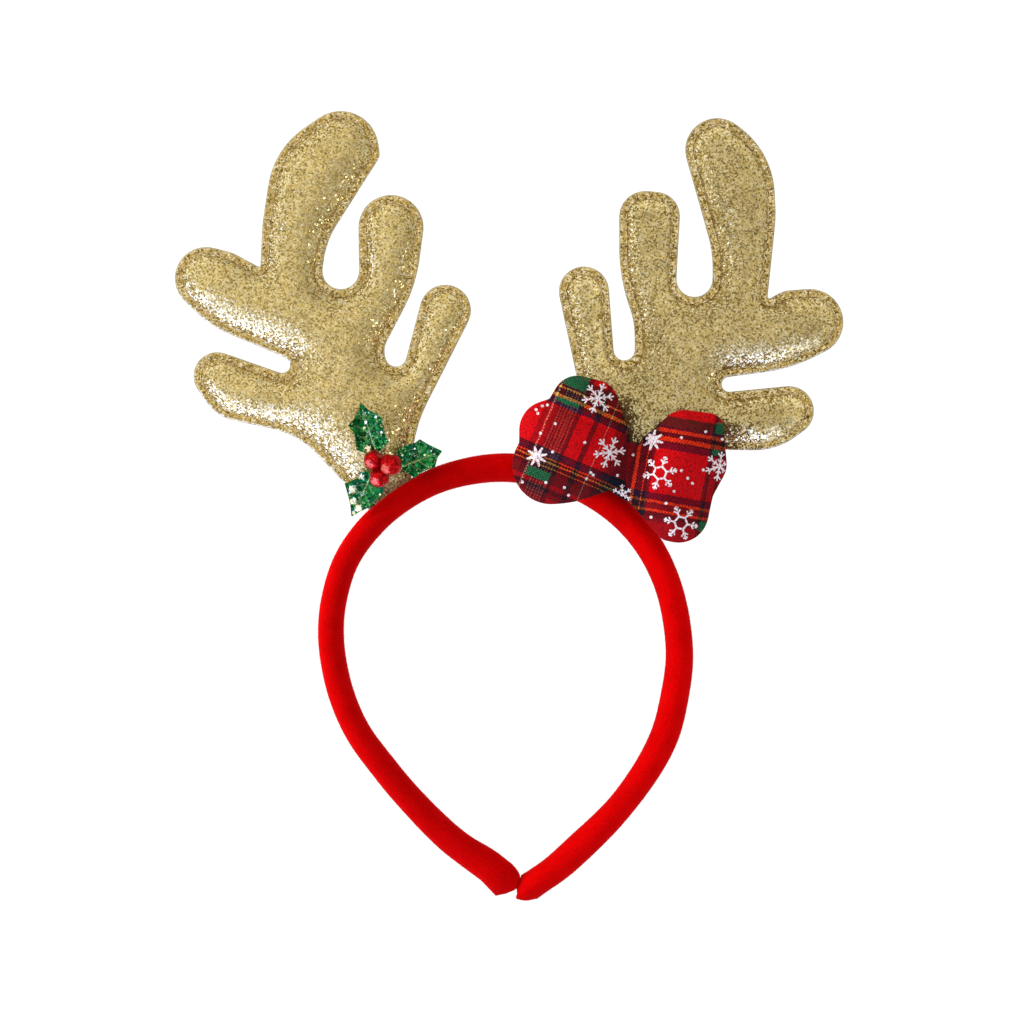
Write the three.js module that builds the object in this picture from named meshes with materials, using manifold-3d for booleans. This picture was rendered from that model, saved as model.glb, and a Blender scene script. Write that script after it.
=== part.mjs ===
// Antler headband: a velvet hoop, two padded antlers, a sprig of holly and a padded bow.
// It lies on its back. Millimetres: +X across the face, +Y from the tips to the crown, +Z up from
// the floor. The origin is below the middle of the whole headband.

import * as THREE from "three";
import { mergeVertices } from "three/addons/utils/BufferGeometryUtils.js";
import Module from "manifold-3d";

const wasm = await Module();
wasm.setup();

// Sizes shared by the pieces
const GAP = 0.3;
const OUTLINE_STEP = 3.8;
const ARC_STEP = 0.5;
const PAD_GRID = 4.6;
const PAD_SWEEPS = 240;
const FULL_TURN = 2 * Math.PI;

// The hoop: a tube round a springy core, pressed a little flat where it lies
const TUBE_WIDTH = 9.8;
const TUBE_DEPTH = 10.4;
const TUBE_FLAT = 0.4;
const TUBE_SIDES = 14;
const TUBE_STATIONS = 72;
const TIP_ROUND = 1.6;
const TUBE_HEIGHT = TUBE_DEPTH / 2 - TUBE_FLAT;

// Padding. The seam is the middle plane, and the margin is flat cloth outside the stitches.
const ANTLER_PAD = { seam: 6.2, edge: 1.2, margin: 2.6, front: 9.6, back: 7.6, ease: 7.0 };
const BOW_PAD = { seam: 18.6, edge: 1.6, margin: 0.8, front: 11.0, back: 9.0, ease: 8.0 };
const BASE_TAPER = 11.0;

// Holly
const LEAF_THICKNESS = 0.8;
const LEAF_FOLD = 0.22;

// Middle line of the hoop, from the left tip over the crown to the right tip
const HOOP_LINE = [
  { x: -0.2, y: -132.1 },
  { x: -9.3, y: -124.8 },
  { x: -20.8, y: -115.9 },
  { x: -33.3, y: -104.4 },
  { x: -44.6, y: -91.2 },
  { x: -53.3, y: -78.4 },
  { x: -59.3, y: -63.5 },
  { x: -62.1, y: -46.1 },
  { x: -60.8, y: -32.0 },
  { x: -55.6, y: -17.4 },
  { x: -42.4, y: -2.2 },
  { x: -24.0, y: 8.9 },
  { x: -1.4, y: 13.4 },
  { x: 18.0, y: 9.8 },
  { x: 34.5, y: 1.6 },
  { x: 47.4, y: -11.2 },
  { x: 56.0, y: -28.4 },
  { x: 59.6, y: -50.3 },
  { x: 58.2, y: -66.4 },
  { x: 53.6, y: -83.2 },
  { x: 39.2, y: -104.9 },
  { x: 18.2, y: -125.1 },
  { x: 9.8, y: -131.2 },
  { x: 4.9, y: -133.4 },
];

// Outlines are belts drawn clockwise round pegs. A peg with r above 0 is a rounded corner of the
// piece, and one with r below 0 is a hollow that the belt passes on its other side.
const LEFT_ANTLER = [
  { at: "base_outer", x: -48.4, y: -4.4, r: 3.6 },
  { at: "heel", x: -89.4, y: -3.7, r: -31.2 },
  { at: "lower_belly", x: -92.9, y: 44.8, r: 15.4 },
  { at: "lower_tip", x: -101.9, y: 45.3, r: 8.4 },
  { at: "lower_slot", x: -79.2, y: 49.2, r: -2.8 },
  { at: "upper_belly", x: -84.5, y: 92.4, r: 35.0 },
  { at: "upper_tip", x: -105.8, y: 79.5, r: 11.0 },
  { at: "upper_crotch", x: -87.4, y: 84.2, r: -0.6 },
  { at: "beam_back", x: -32.5, y: 92.9, r: 53.9 },
  { at: "beam_shoulder", x: -60.7, y: 113.9, r: 21.0 },
  { at: "beam_tip", x: -58.3, y: 124.6, r: 13.1 },
  { at: "beam_chin", x: -49.2, y: 123.7, r: 4.0 },
  { at: "beam_front", x: -34.1, y: 81.7, r: -30.8 },
  { at: "beam_crotch", x: -58.7, y: 82.1, r: -6.4 },
  { at: "middle_tip", x: -41.1, y: 97.3, r: 11.4 },
  { at: "middle_front", x: -83.1, y: 93.3, r: 52.5 },
  { at: "middle_bend", x: -36.4, y: 54.1, r: -7.0 },
  { at: "inner_slot", x: -39.4, y: 52.3, r: -3.7 },
  { at: "inner_tip", x: -22.1, y: 68.3, r: 9.0 },
  { at: "base_bend", x: 18.7, y: 12.8, r: -52.5 },
  { at: "base_inner", x: -38.6, y: 4.4, r: 3.6 },
];

const RIGHT_ANTLER = [
  { at: "base_inner", x: 27.8, y: 8.2, r: 3.6 },
  { at: "base_bend", x: -10.7, y: 36.9, r: -35.0 },
  { at: "inner_tip", x: 26.4, y: 74.9, r: 8.8 },
  { at: "inner_slot", x: 40.5, y: 54.5, r: -3.7 },
  { at: "middle_bend", x: 18.1, y: 59.7, r: -26.0 },
  { at: "middle_back", x: 101.7, y: 90.5, r: 63.0 },
  { at: "middle_tip_in", x: 47.8, y: 101.0, r: 9.1 },
  { at: "middle_tip_out", x: 51.5, y: 101.3, r: 8.5 },
  { at: "beam_crotch", x: 65.1, y: 79.3, r: -6.3 },
  { at: "beam_front", x: 29.4, y: 83.1, r: -42.0 },
  { at: "beam_tip", x: 73.0, y: 124.4, r: 11.2 },
  { at: "beam_shoulder", x: 63.4, y: 108.3, r: 29.8 },
  { at: "beam_back", x: 41.0, y: 102.4, r: 52.5 },
  { at: "upper_crotch", x: 91.4, y: 73.2, r: -0.7 },
  { at: "upper_tip", x: 105.9, y: 64.6, r: 11.2 },
  { at: "upper_belly", x: 91.1, y: 83.5, r: 35.0 },
  { at: "lower_slot", x: 77.2, y: 42.4, r: -2.6 },
  { at: "lower_tip", x: 98.4, y: 33.4, r: 8.4 },
  { at: "lower_belly", x: 85.2, y: 44.1, r: 24.5 },
  { at: "heel", x: 72.6, y: -11.7, r: -31.2 },
  { at: "base_outer", x: 38.3, y: 2.2, r: 3.6 },
];

const BOW = [
  { at: "left_crown_in", x: 24.0, y: 36.6, r: 8.7 },
  { at: "left_crown_out", x: 30.1, y: 35.4, r: 8.3 },
  { at: "left_cheek", x: 24.3, y: 22.9, r: 17.5 },
  { at: "waist_top", x: 44.2, y: 23.6, r: -2.1 },
  { at: "right_corner", x: 48.5, y: 22.2, r: 2.1 },
  { at: "right_crown_in", x: 61.4, y: 24.0, r: 9.3 },
  { at: "right_crown_out", x: 70.0, y: 27.3, r: 4.9 },
  { at: "right_cheek", x: 67.2, y: 14.4, r: 8.9 },
  { at: "right_dent", x: 77.9, y: 0.9, r: -7.0 },
  { at: "right_foot_out", x: 59.3, y: -2.5, r: 10.5 },
  { at: "right_foot_in", x: 55.8, y: -8.2, r: 4.2 },
  { at: "waist_bottom", x: 38.0, y: -7.5, r: -11.2 },
  { at: "waist_notch", x: 34.9, y: 4.4, r: -0.8 },
  { at: "left_foot_in", x: 15.2, y: 39.0, r: 38.5 },
  { at: "left_foot_out", x: 14.9, y: 14.0, r: 13.6 },
  { at: "left_notch_low", x: 2.8, y: 22.2, r: -0.9 },
  { at: "left_ear", x: 14.0, y: 26.3, r: 10.3 },
  { at: "left_notch_high", x: 13.8, y: 37.8, r: -0.7 },
];

// Leaf edges as shares of the leaf's length: how far along, and how wide to the left and right
const LEAVES = [
  {
    name: "leaf_upper", base: [-47.6, 18.4], tip: [-51.4, 35.5], z: [15.0, 16.4],
    edge: [
      { along: 0.0, left: 0.06, right: 0.06 },
      { along: 0.18, left: 0.29, right: 0.35 },
      { along: 0.42, left: 0.25, right: 0.29 },
      { along: 0.63, left: 0.34, right: 0.31 },
      { along: 0.74, left: 0.2, right: 0.32 },
      { along: 0.87, left: 0.11, right: 0.14 },
      { along: 1.0, left: 0.01, right: 0.01 },
    ],
  },
  {
    name: "leaf_right", base: [-38.2, 14.4], tip: [-23.3, 19.0], z: [9.2, 11.0],
    edge: [
      { along: 0.0, left: 0.06, right: 0.06 },
      { along: 0.2, left: 0.32, right: 0.4 },
      { along: 0.42, left: 0.28, right: 0.25 },
      { along: 0.61, left: 0.38, right: 0.2 },
      { along: 0.79, left: 0.16, right: 0.25 },
      { along: 0.9, left: 0.08, right: 0.09 },
      { along: 1.0, left: 0.01, right: 0.01 },
    ],
  },
  {
    name: "leaf_lower", base: [-46.6, 10.2], tip: [-54.8, -3.7], z: [13.8, 9.8],
    edge: [
      { along: 0.0, left: 0.08, right: 0.16 },
      { along: 0.13, left: 0.27, right: 0.28 },
      { along: 0.38, left: 0.2, right: 0.37 },
      { along: 0.5, left: 0.2, right: 0.48 },
      { along: 0.65, left: 0.24, right: 0.26 },
      { along: 0.84, left: 0.12, right: 0.13 },
      { along: 1.0, left: 0.01, right: 0.01 },
    ],
  },
];

const BERRIES = [
  { name: "berry_upper", x: -47.1, y: 15.7, z: 17.8, r: 2.8 },
  { name: "berry_right", x: -41.1, y: 14.1, z: 19.3, r: 3.1 },
  { name: "berry_lower", x: -45.0, y: 9.6, z: 17.7, r: 2.8 },
];

const gold = new THREE.MeshStandardMaterial({ color: 0xc4ac70, roughness: 0.4, metalness: 0.6 });
const velvet = new THREE.MeshStandardMaterial({ color: 0xc80a0a, roughness: 0.9, metalness: 0 });
const tartan = new THREE.MeshStandardMaterial({ color: 0xb4141c, roughness: 0.85, metalness: 0 });
const leafFoil = new THREE.MeshStandardMaterial({ color: 0x0a6e32, roughness: 0.35, metalness: 0.5 });
const berryFoil = new THREE.MeshStandardMaterial({ color: 0xbe000f, roughness: 0.35, metalness: 0.4 });

// Points of a belt round the pegs, each with its outward normal
function beltOutline(pegs) {
  const headings = pegs.map((peg, i) => {
    const next = pegs[(i + 1) % pegs.length];
    const dx = next.x - peg.x;
    const dy = next.y - peg.y;
    return Math.atan2(dy, dx) - Math.asin((peg.r - next.r) / Math.hypot(dx, dy));
  });
  const arcs = pegs.map((peg, i) => {
    const start = headings[(i + pegs.length - 1) % pegs.length];
    const mostLeft = peg.r > 0 ? FULL_TURN / 8 : (FULL_TURN * 7) / 8;
    const raw = mostLeft - (headings[i] - start);
    const turn = mostLeft - (raw - FULL_TURN * Math.floor(raw / FULL_TURN));
    const bend = Math.abs(turn);
    const steps = Math.max(1, Math.ceil((bend * Math.abs(peg.r)) / OUTLINE_STEP), Math.ceil(bend / ARC_STEP));
    return Array.from({ length: steps + 1 }, (_, k) => {
      const heading = start + (turn * k) / steps;
      const nx = -Math.sin(heading);
      const ny = Math.cos(heading);
      return { x: peg.x + peg.r * nx, y: peg.y + peg.r * ny, nx, ny };
    });
  });
  return arcs.flatMap((arc, i) => {
    const from = arc[arc.length - 1];
    const to = arcs[(i + 1) % arcs.length][0];
    const pieces = Math.ceil(Math.hypot(to.x - from.x, to.y - from.y) / OUTLINE_STEP);
    const between = Array.from({ length: Math.max(0, pieces - 1) }, (_, k) => {
      const share = (k + 1) / pieces;
      return {
        x: from.x + (to.x - from.x) * share,
        y: from.y + (to.y - from.y) * share,
        nx: from.nx,
        ny: from.ny,
      };
    });
    return [...arc, ...between];
  });
}

// Distance from a point to a closed outline, above 0 inside
function depthInside(outline, x, y) {
  let nearest = Infinity;
  let inside = false;
  outline.forEach((a, i) => {
    const b = outline[(i + 1) % outline.length];
    const ex = b.x - a.x;
    const ey = b.y - a.y;
    const share = ((x - a.x) * ex + (y - a.y) * ey) / (ex * ex + ey * ey || 1);
    const t = Math.min(1, Math.max(0, share));
    nearest = Math.min(nearest, Math.hypot(x - a.x - ex * t, y - a.y - ey * t));
    if (a.y > y !== b.y > y && x < a.x + (ex * (y - a.y)) / ey) inside = !inside;
  });
  return inside ? nearest : -nearest;
}

// Triangle with its circumcircle
function circled(points, corners) {
  const [a, b, c] = corners.map((k) => points[k]);
  const bx = b.x - a.x;
  const by = b.y - a.y;
  const cx = c.x - a.x;
  const cy = c.y - a.y;
  const twice = 2 * (bx * cy - by * cx);
  const ux = (cy * (bx * bx + by * by) - by * (cx * cx + cy * cy)) / twice;
  const uy = (bx * (cx * cx + cy * cy) - cx * (bx * bx + by * by)) / twice;
  return { corners, x: a.x + ux, y: a.y + uy, reach: ux * ux + uy * uy };
}

// Delaunay triangles of the points, each counter-clockwise
function delaunay(points) {
  const far = 5000;
  const all = [...points, { x: -far, y: -far }, { x: far, y: -far }, { x: 0, y: far }];
  const count = points.length;
  let faces = [circled(all, [count, count + 1, count + 2])];
  points.forEach((point, i) => {
    const rim = new Map();
    faces = faces.filter((face) => {
      if ((point.x - face.x) ** 2 + (point.y - face.y) ** 2 >= face.reach) return true;
      face.corners.forEach((a, k) => {
        const b = face.corners[(k + 1) % 3];
        if (!rim.delete(`${b},${a}`)) rim.set(`${a},${b}`, [a, b]);
      });
      return false;
    });
    rim.forEach(([a, b]) => faces.push(circled(all, [a, b, i])));
  });
  return faces.map((face) => face.corners).filter((corners) => corners.every((k) => k < count));
}

// Height of a membrane held at the first points and blown up evenly, as a half-width
function blownUp(points, faces, heldCount) {
  const around = points.map(() => new Set());
  faces.forEach((face) => face.forEach((a) => face.forEach((b) => a !== b && around[a].add(b))));
  const free = points.map((_, i) => i).slice(heldCount);
  const neighbours = around.map((set) => [...set]);
  const load = points.map((p, i) => {
    const squares = neighbours[i].map((j) => (points[j].x - p.x) ** 2 + (points[j].y - p.y) ** 2);
    return squares.reduce((sum, value) => sum + value, 0) / (4 * squares.length);
  });
  const height = points.map(() => 0);
  for (let sweep = 0; sweep < PAD_SWEEPS; sweep += 1) {
    for (const i of free) {
      const mean = neighbours[i].reduce((sum, j) => sum + height[j], 0) / neighbours[i].length;
      height[i] += 1.7 * (mean + load[i] - height[i]);
    }
  }
  return height.map((value) => Math.sqrt(2 * Math.max(0, value)));
}

// A closed body from its points and triangles
function body(points, triangles) {
  const geometry = new THREE.BufferGeometry();
  geometry.setAttribute("position", new THREE.Float32BufferAttribute(points.flat(), 3));
  geometry.setIndex(triangles.flat());
  return geometry;
}

// Two layers of cloth sewn together inside their edge and filled. Fullness is 0 to 1 over the plan.
function pad(pegs, size, fullness) {
  const rim = beltOutline(pegs);
  const sewn = rim.map((p) => ({ x: p.x - p.nx * size.margin, y: p.y - p.ny * size.margin }));
  const xs = sewn.map((p) => p.x);
  const ys = sewn.map((p) => p.y);
  const inner = [...sewn];
  const rowStep = (PAD_GRID * Math.sqrt(3)) / 2;
  for (let row = 0; Math.min(...ys) + row * rowStep < Math.max(...ys); row += 1) {
    const y = Math.min(...ys) + row * rowStep;
    for (let x = Math.min(...xs) + ((row % 2) * PAD_GRID) / 2; x < Math.max(...xs); x += PAD_GRID) {
      if (depthInside(sewn, x, y) > 0.6 * PAD_GRID) inner.push({ x, y });
    }
  }
  const faces = delaunay(inner).filter((face) => {
    const middle = (key) => face.reduce((sum, k) => sum + inner[k][key], 0) / 3;
    return depthInside(sewn, middle("x"), middle("y")) > 0;
  });
  const swell = blownUp(inner, faces, sewn.length).map(
    (half, i) => (1 - Math.exp(-half / size.ease)) * fullness(inner[i].x, inner[i].y),
  );
  const count = rim.length;
  const top = size.seam + size.edge / 2;
  const bottom = size.seam - size.edge / 2;
  const points = [
    ...rim.map((p) => [p.x, p.y, top]),
    ...rim.map((p) => [p.x, p.y, bottom]),
    ...inner.map((p, i) => [p.x, p.y, top + size.front * swell[i]]),
    ...inner.map((p, i) => [p.x, p.y, Math.max(0, bottom - size.back * swell[i])]),
  ];
  const front = 2 * count;
  const back = front + inner.length;
  const triangles = [];
  rim.forEach((_, i) => {
    const j = (i + 1) % count;
    triangles.push([count + i, i, j], [count + i, j, count + j]);
    triangles.push([front + i, front + j, j], [front + i, j, i]);
    triangles.push([back + j, back + i, count + j], [count + j, back + i, count + i]);
  });
  faces.forEach(([a, b, c]) => {
    triangles.push([front + a, front + b, front + c], [back + a, back + c, back + b]);
  });
  return body(points, triangles);
}

// Skin over rings of equal count along a line, with both ends closed
function loft(rings) {
  const sides = rings[0].length;
  const points = rings.flat();
  const triangles = [];
  rings.slice(1).forEach((_, k) => {
    for (let a = 0; a < sides; a += 1) {
      const b = (a + 1) % sides;
      const here = k * sides;
      const next = here + sides;
      triangles.push([here + a, next + a, next + b], [here + a, next + b, here + b]);
    }
  });
  const last = (rings.length - 1) * sides;
  for (let a = 1; a < sides - 1; a += 1) {
    triangles.push([0, a, a + 1], [last, last + a + 1, last + a]);
  }
  return body(points, triangles);
}

const hoopCurve = new THREE.CatmullRomCurve3(
  HOOP_LINE.map((p) => new THREE.Vector3(p.x, p.y, TUBE_HEIGHT)),
  false,
  "centripetal",
);
const hoopLength = hoopCurve.getLength();

// The hoop's tube, or the same tube grown on all sides
function hoopTube(grown) {
  const run = hoopLength + 2 * grown;
  const ends = [0.02, 0.25, 0.6].map((share) => share * TIP_ROUND);
  const middle = Array.from({ length: TUBE_STATIONS + 1 }, (_, k) => {
    return TIP_ROUND + ((run - 2 * TIP_ROUND) * k) / TUBE_STATIONS;
  });
  const stations = [...ends, ...middle, ...ends.map((end) => run - end).reverse()];
  return loft(
    stations.map((station) => {
      const share = Math.min(1, Math.max(0, (station - grown) / hoopLength));
      const along = hoopCurve.getTangentAt(share);
      const beyond = station - grown - share * hoopLength;
      const centre = hoopCurve.getPointAt(share).addScaledVector(along, beyond);
      const toEnd = Math.min(1, station / TIP_ROUND, (run - station) / TIP_ROUND);
      const size = Math.sqrt(1 - (1 - toEnd) ** 2);
      return Array.from({ length: TUBE_SIDES }, (_, k) => {
        const angle = (FULL_TURN * (k + 0.5)) / TUBE_SIDES;
        const side = (TUBE_WIDTH / 2 + grown) * size * Math.cos(angle);
        const rise = (TUBE_DEPTH / 2 + grown) * size * Math.sin(angle);
        const z = Math.max(-grown, centre.z + rise);
        return [centre.x + along.y * side, centre.y - along.x * side, z];
      });
    }),
  );
}

// A leaf of even thickness, folded a little upward along its middle
function leaf(row) {
  const [bx, by] = row.base;
  const length = Math.hypot(row.tip[0] - bx, row.tip[1] - by);
  const ux = (row.tip[0] - bx) / length;
  const uy = (row.tip[1] - by) / length;
  return loft(
    row.edge.map(({ along, left, right }) => {
      const z = row.z[0] + (row.z[1] - row.z[0]) * along;
      const at = (across, lift) => [
        bx + (ux * along + uy * across) * length,
        by + (uy * along - ux * across) * length,
        z + LEAF_FOLD * Math.abs(across) * length + lift,
      ];
      const above = [at(right, LEAF_THICKNESS), at(0, LEAF_THICKNESS), at(-left, LEAF_THICKNESS)];
      return [...above, at(-left, 0), at(0, 0), at(right, 0)];
    }),
  );
}

// A ball whose points are shared between its faces
function mergedSphere(radius) {
  const ball = new THREE.SphereGeometry(radius, 12, 8);
  ball.deleteAttribute("normal");
  ball.deleteAttribute("uv");
  return mergeVertices(ball, 1e-4);
}

function solid(geometry) {
  const bare = geometry.clone();
  bare.deleteAttribute("normal");
  bare.deleteAttribute("uv");
  const merged = mergeVertices(bare, 1e-4);
  return new wasm.Manifold(
    new wasm.Mesh({
      numProp: 3,
      vertProperties: new Float32Array(merged.attributes.position.array),
      triVerts: new Uint32Array(merged.index.array),
    }),
  );
}

function geometryOf(manifold) {
  const mesh = manifold.getMesh();
  const geometry = new THREE.BufferGeometry();
  geometry.setAttribute("position", new THREE.Float32BufferAttribute(mesh.vertProperties, 3));
  geometry.setIndex(Array.from(mesh.triVerts));
  return geometry;
}

// An antler is sewn flat where it meets the hoop, and swells to its full padding beyond
const hoopPoints = hoopCurve.getSpacedPoints(200);
function antlerFullness(x, y) {
  const away = Math.min(...hoopPoints.map((p) => Math.hypot(p.x - x, p.y - y)));
  const share = Math.min(1, Math.max(0, (away - TUBE_WIDTH / 2) / BASE_TAPER));
  return share * share * (3 - 2 * share);
}

const hoopRoom = solid(hoopTube(GAP));
const leftAntler = solid(pad(LEFT_ANTLER, ANTLER_PAD, antlerFullness)).subtract(hoopRoom);
const rightAntler = solid(pad(RIGHT_ANTLER, ANTLER_PAD, antlerFullness)).subtract(hoopRoom);
const antlerRoomSize = { ...ANTLER_PAD, edge: ANTLER_PAD.edge + 2 * GAP };
const antlerRoom = solid(pad(RIGHT_ANTLER, antlerRoomSize, antlerFullness));
const bow = solid(pad(BOW, BOW_PAD, () => 1)).subtract(antlerRoom).subtract(hoopRoom);

const headband = new THREE.Group();

function add(name, geometry, material) {
  const mesh = new THREE.Mesh(geometry, material);
  mesh.name = name;
  headband.add(mesh);
  return mesh;
}

add("headband", hoopTube(0), velvet);
add("antler_left", geometryOf(leftAntler), gold);
add("antler_right", geometryOf(rightAntler), gold);
add("bow", geometryOf(bow), tartan);
LEAVES.forEach((row) => add(row.name, leaf(row), leafFoil));
BERRIES.forEach((row) => {
  const berry = add(row.name, mergedSphere(row.r), berryFoil);
  berry.position.set(row.x, row.y, row.z);
});

// The origin goes below the middle of the whole
const whole = new THREE.Box3().setFromObject(headband);
const middle = whole.getCenter(new THREE.Vector3());
headband.position.set(-middle.x, -middle.y, -whole.min.z);

export default headband;
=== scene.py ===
# An antler headband that lies on its back: a red velvet hoop, two padded antlers of gold glitter
# leatherette, a holly sprig with three berries, and a padded tartan bow with a printed snow pattern.
import math

import bpy
import numpy as np
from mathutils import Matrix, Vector, noise
from mathutils.bvhtree import BVHTree
from mathutils.geometry import delaunay_2d_cdt
from mathutils.kdtree import KDTree


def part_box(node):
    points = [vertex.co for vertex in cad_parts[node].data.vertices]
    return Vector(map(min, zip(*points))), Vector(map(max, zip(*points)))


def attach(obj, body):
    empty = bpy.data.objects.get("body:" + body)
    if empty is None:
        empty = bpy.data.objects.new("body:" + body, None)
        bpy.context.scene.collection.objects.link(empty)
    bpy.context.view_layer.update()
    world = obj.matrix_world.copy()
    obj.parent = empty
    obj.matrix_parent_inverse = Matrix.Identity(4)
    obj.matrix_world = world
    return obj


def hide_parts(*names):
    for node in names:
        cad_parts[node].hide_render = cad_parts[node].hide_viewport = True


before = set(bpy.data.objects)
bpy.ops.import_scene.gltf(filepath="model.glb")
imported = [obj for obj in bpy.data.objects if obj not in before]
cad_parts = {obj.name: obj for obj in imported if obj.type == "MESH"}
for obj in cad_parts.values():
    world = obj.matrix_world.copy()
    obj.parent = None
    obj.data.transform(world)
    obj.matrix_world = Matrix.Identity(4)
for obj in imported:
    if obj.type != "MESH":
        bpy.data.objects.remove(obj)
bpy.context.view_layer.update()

MM = 0.001
FULL_TURN = 2 * math.pi

# Sizes are in millimetres, with X and Y measured from the middle of the front view.
# The pegs that a belt runs round to make each outline: name, x, y and radius. A hollow has a negative radius.
LEFT_ANTLER = [
    ("base_outer", -46.4, 1.2, 3.6),
    ("heel", -89.4, -3.7, -31.2),
    ("lower_belly", -92.9, 44.8, 15.4),
    ("lower_tip", -101.9, 45.3, 8.4),
    ("lower_slot", -79.2, 49.2, -2.8),
    ("upper_belly", -84.5, 92.4, 35.0),
    ("upper_tip", -105.8, 79.5, 11.0),
    ("upper_brow", -100.5, 78.6, 10.6),
    ("upper_crotch", -87.4, 84.2, -0.6),
    ("beam_back", -32.5, 92.9, 53.9),
    ("beam_shoulder", -54.5, 107.5, 30.0),
    ("beam_tip", -58.7, 124.8, 13.3),
    ("beam_chin", -49.0, 123.1, 4.0),
    ("beam_front", -34.1, 81.7, -30.8),
    ("beam_crotch", -58.7, 82.1, -6.4),
    ("middle_tip", -41.1, 97.3, 11.4),
    ("middle_front", -83.1, 93.3, 52.5),
    ("middle_bend", -36.4, 54.1, -7.0),
    ("inner_slot", -39.4, 52.3, -3.7),
    ("inner_tip", -22.1, 68.3, 9.0),
    ("base_bend", 18.7, 12.8, -52.5),
    ("base_inner", -37.8, 4.4, 3.6),
]
RIGHT_ANTLER = [
    ("base_inner", 27.8, 8.2, 3.6),
    ("base_bend", -10.2, 36.9, -35.0),
    ("inner_tip", 26.4, 74.9, 8.8),
    ("inner_slot", 40.5, 54.5, -3.7),
    ("middle_bend", 18.1, 59.7, -26.0),
    ("middle_back", 101.7, 90.5, 63.0),
    ("middle_tip_in", 47.8, 101.0, 9.1),
    ("middle_tip_out", 51.5, 101.3, 8.5),
    ("beam_crotch", 65.1, 79.3, -6.3),
    ("beam_front", 29.4, 83.1, -42.0),
    ("beam_tip", 73.0, 124.4, 11.2),
    ("beam_shoulder", 63.4, 108.3, 29.8),
    ("beam_back", 41.0, 102.4, 52.5),
    ("upper_crotch", 91.4, 73.2, -0.7),
    ("upper_brow", 99.5, 64.5, 10.9),
    ("upper_tip", 105.6, 64.2, 11.6),
    ("upper_belly", 82.5, 101.2, 55.0),
    ("lower_slot", 77.2, 42.4, -2.6),
    ("lower_tip", 98.2, 33.1, 8.7),
    ("lower_belly", 86.0, 43.9, 24.6),
    ("heel", 72.6, -11.7, -31.2),
    ("base_outer", 38.3, 2.2, 3.6),
]
BOW = [
    ("left_crown_in", 24.0, 36.6, 8.7),
    ("left_crown_out", 30.1, 35.4, 8.3),
    ("left_cheek", 24.3, 22.9, 17.5),
    ("waist_top", 44.2, 23.6, -2.1),
    ("right_corner", 48.5, 22.2, 2.1),
    ("right_crown_in", 61.4, 24.0, 9.3),
    ("right_crown_out", 70.0, 27.3, 4.9),
    ("right_cheek", 67.2, 14.4, 8.9),
    ("right_dent", 77.9, 0.9, -7.0),
    ("right_foot_out", 59.3, -2.5, 10.5),
    ("right_foot_in", 55.8, -8.2, 4.2),
    ("waist_bottom", 31.5, -12.5, -17.0),
    ("waist_notch", 34.9, 4.4, -0.8),
    ("left_foot_in", 15.2, 39.0, 38.5),
    ("left_foot_out", 14.9, 14.0, 13.6),
    ("left_notch_low", 2.8, 22.2, -0.9),
    ("left_ear", 14.0, 26.3, 10.3),
    ("left_notch_high", 13.8, 37.8, -0.7),
]

# The middle line of the hoop from its left tip over the top to its right tip
HOOP_LINE = [
    (-0.2, -132.1), (-9.3, -124.8), (-20.8, -115.9), (-33.3, -104.4), (-44.6, -91.2), (-53.3, -78.4),
    (-59.3, -63.5), (-62.1, -46.1), (-60.8, -32.0), (-55.6, -17.4), (-42.4, -2.2), (-24.0, 8.9),
    (-1.4, 13.4), (18.0, 9.8), (34.5, 1.6), (47.4, -11.2), (56.0, -28.4), (59.6, -50.3),
    (58.2, -66.4), (53.6, -83.2), (39.2, -104.9), (18.2, -125.1), (9.8, -131.2), (4.9, -133.4),
]
# The tube's width, its depth and the height of its middle line
TUBE_WIDTH = 9.8
TUBE_DEPTH = 10.4
TUBE_HEIGHT = 4.8

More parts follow.
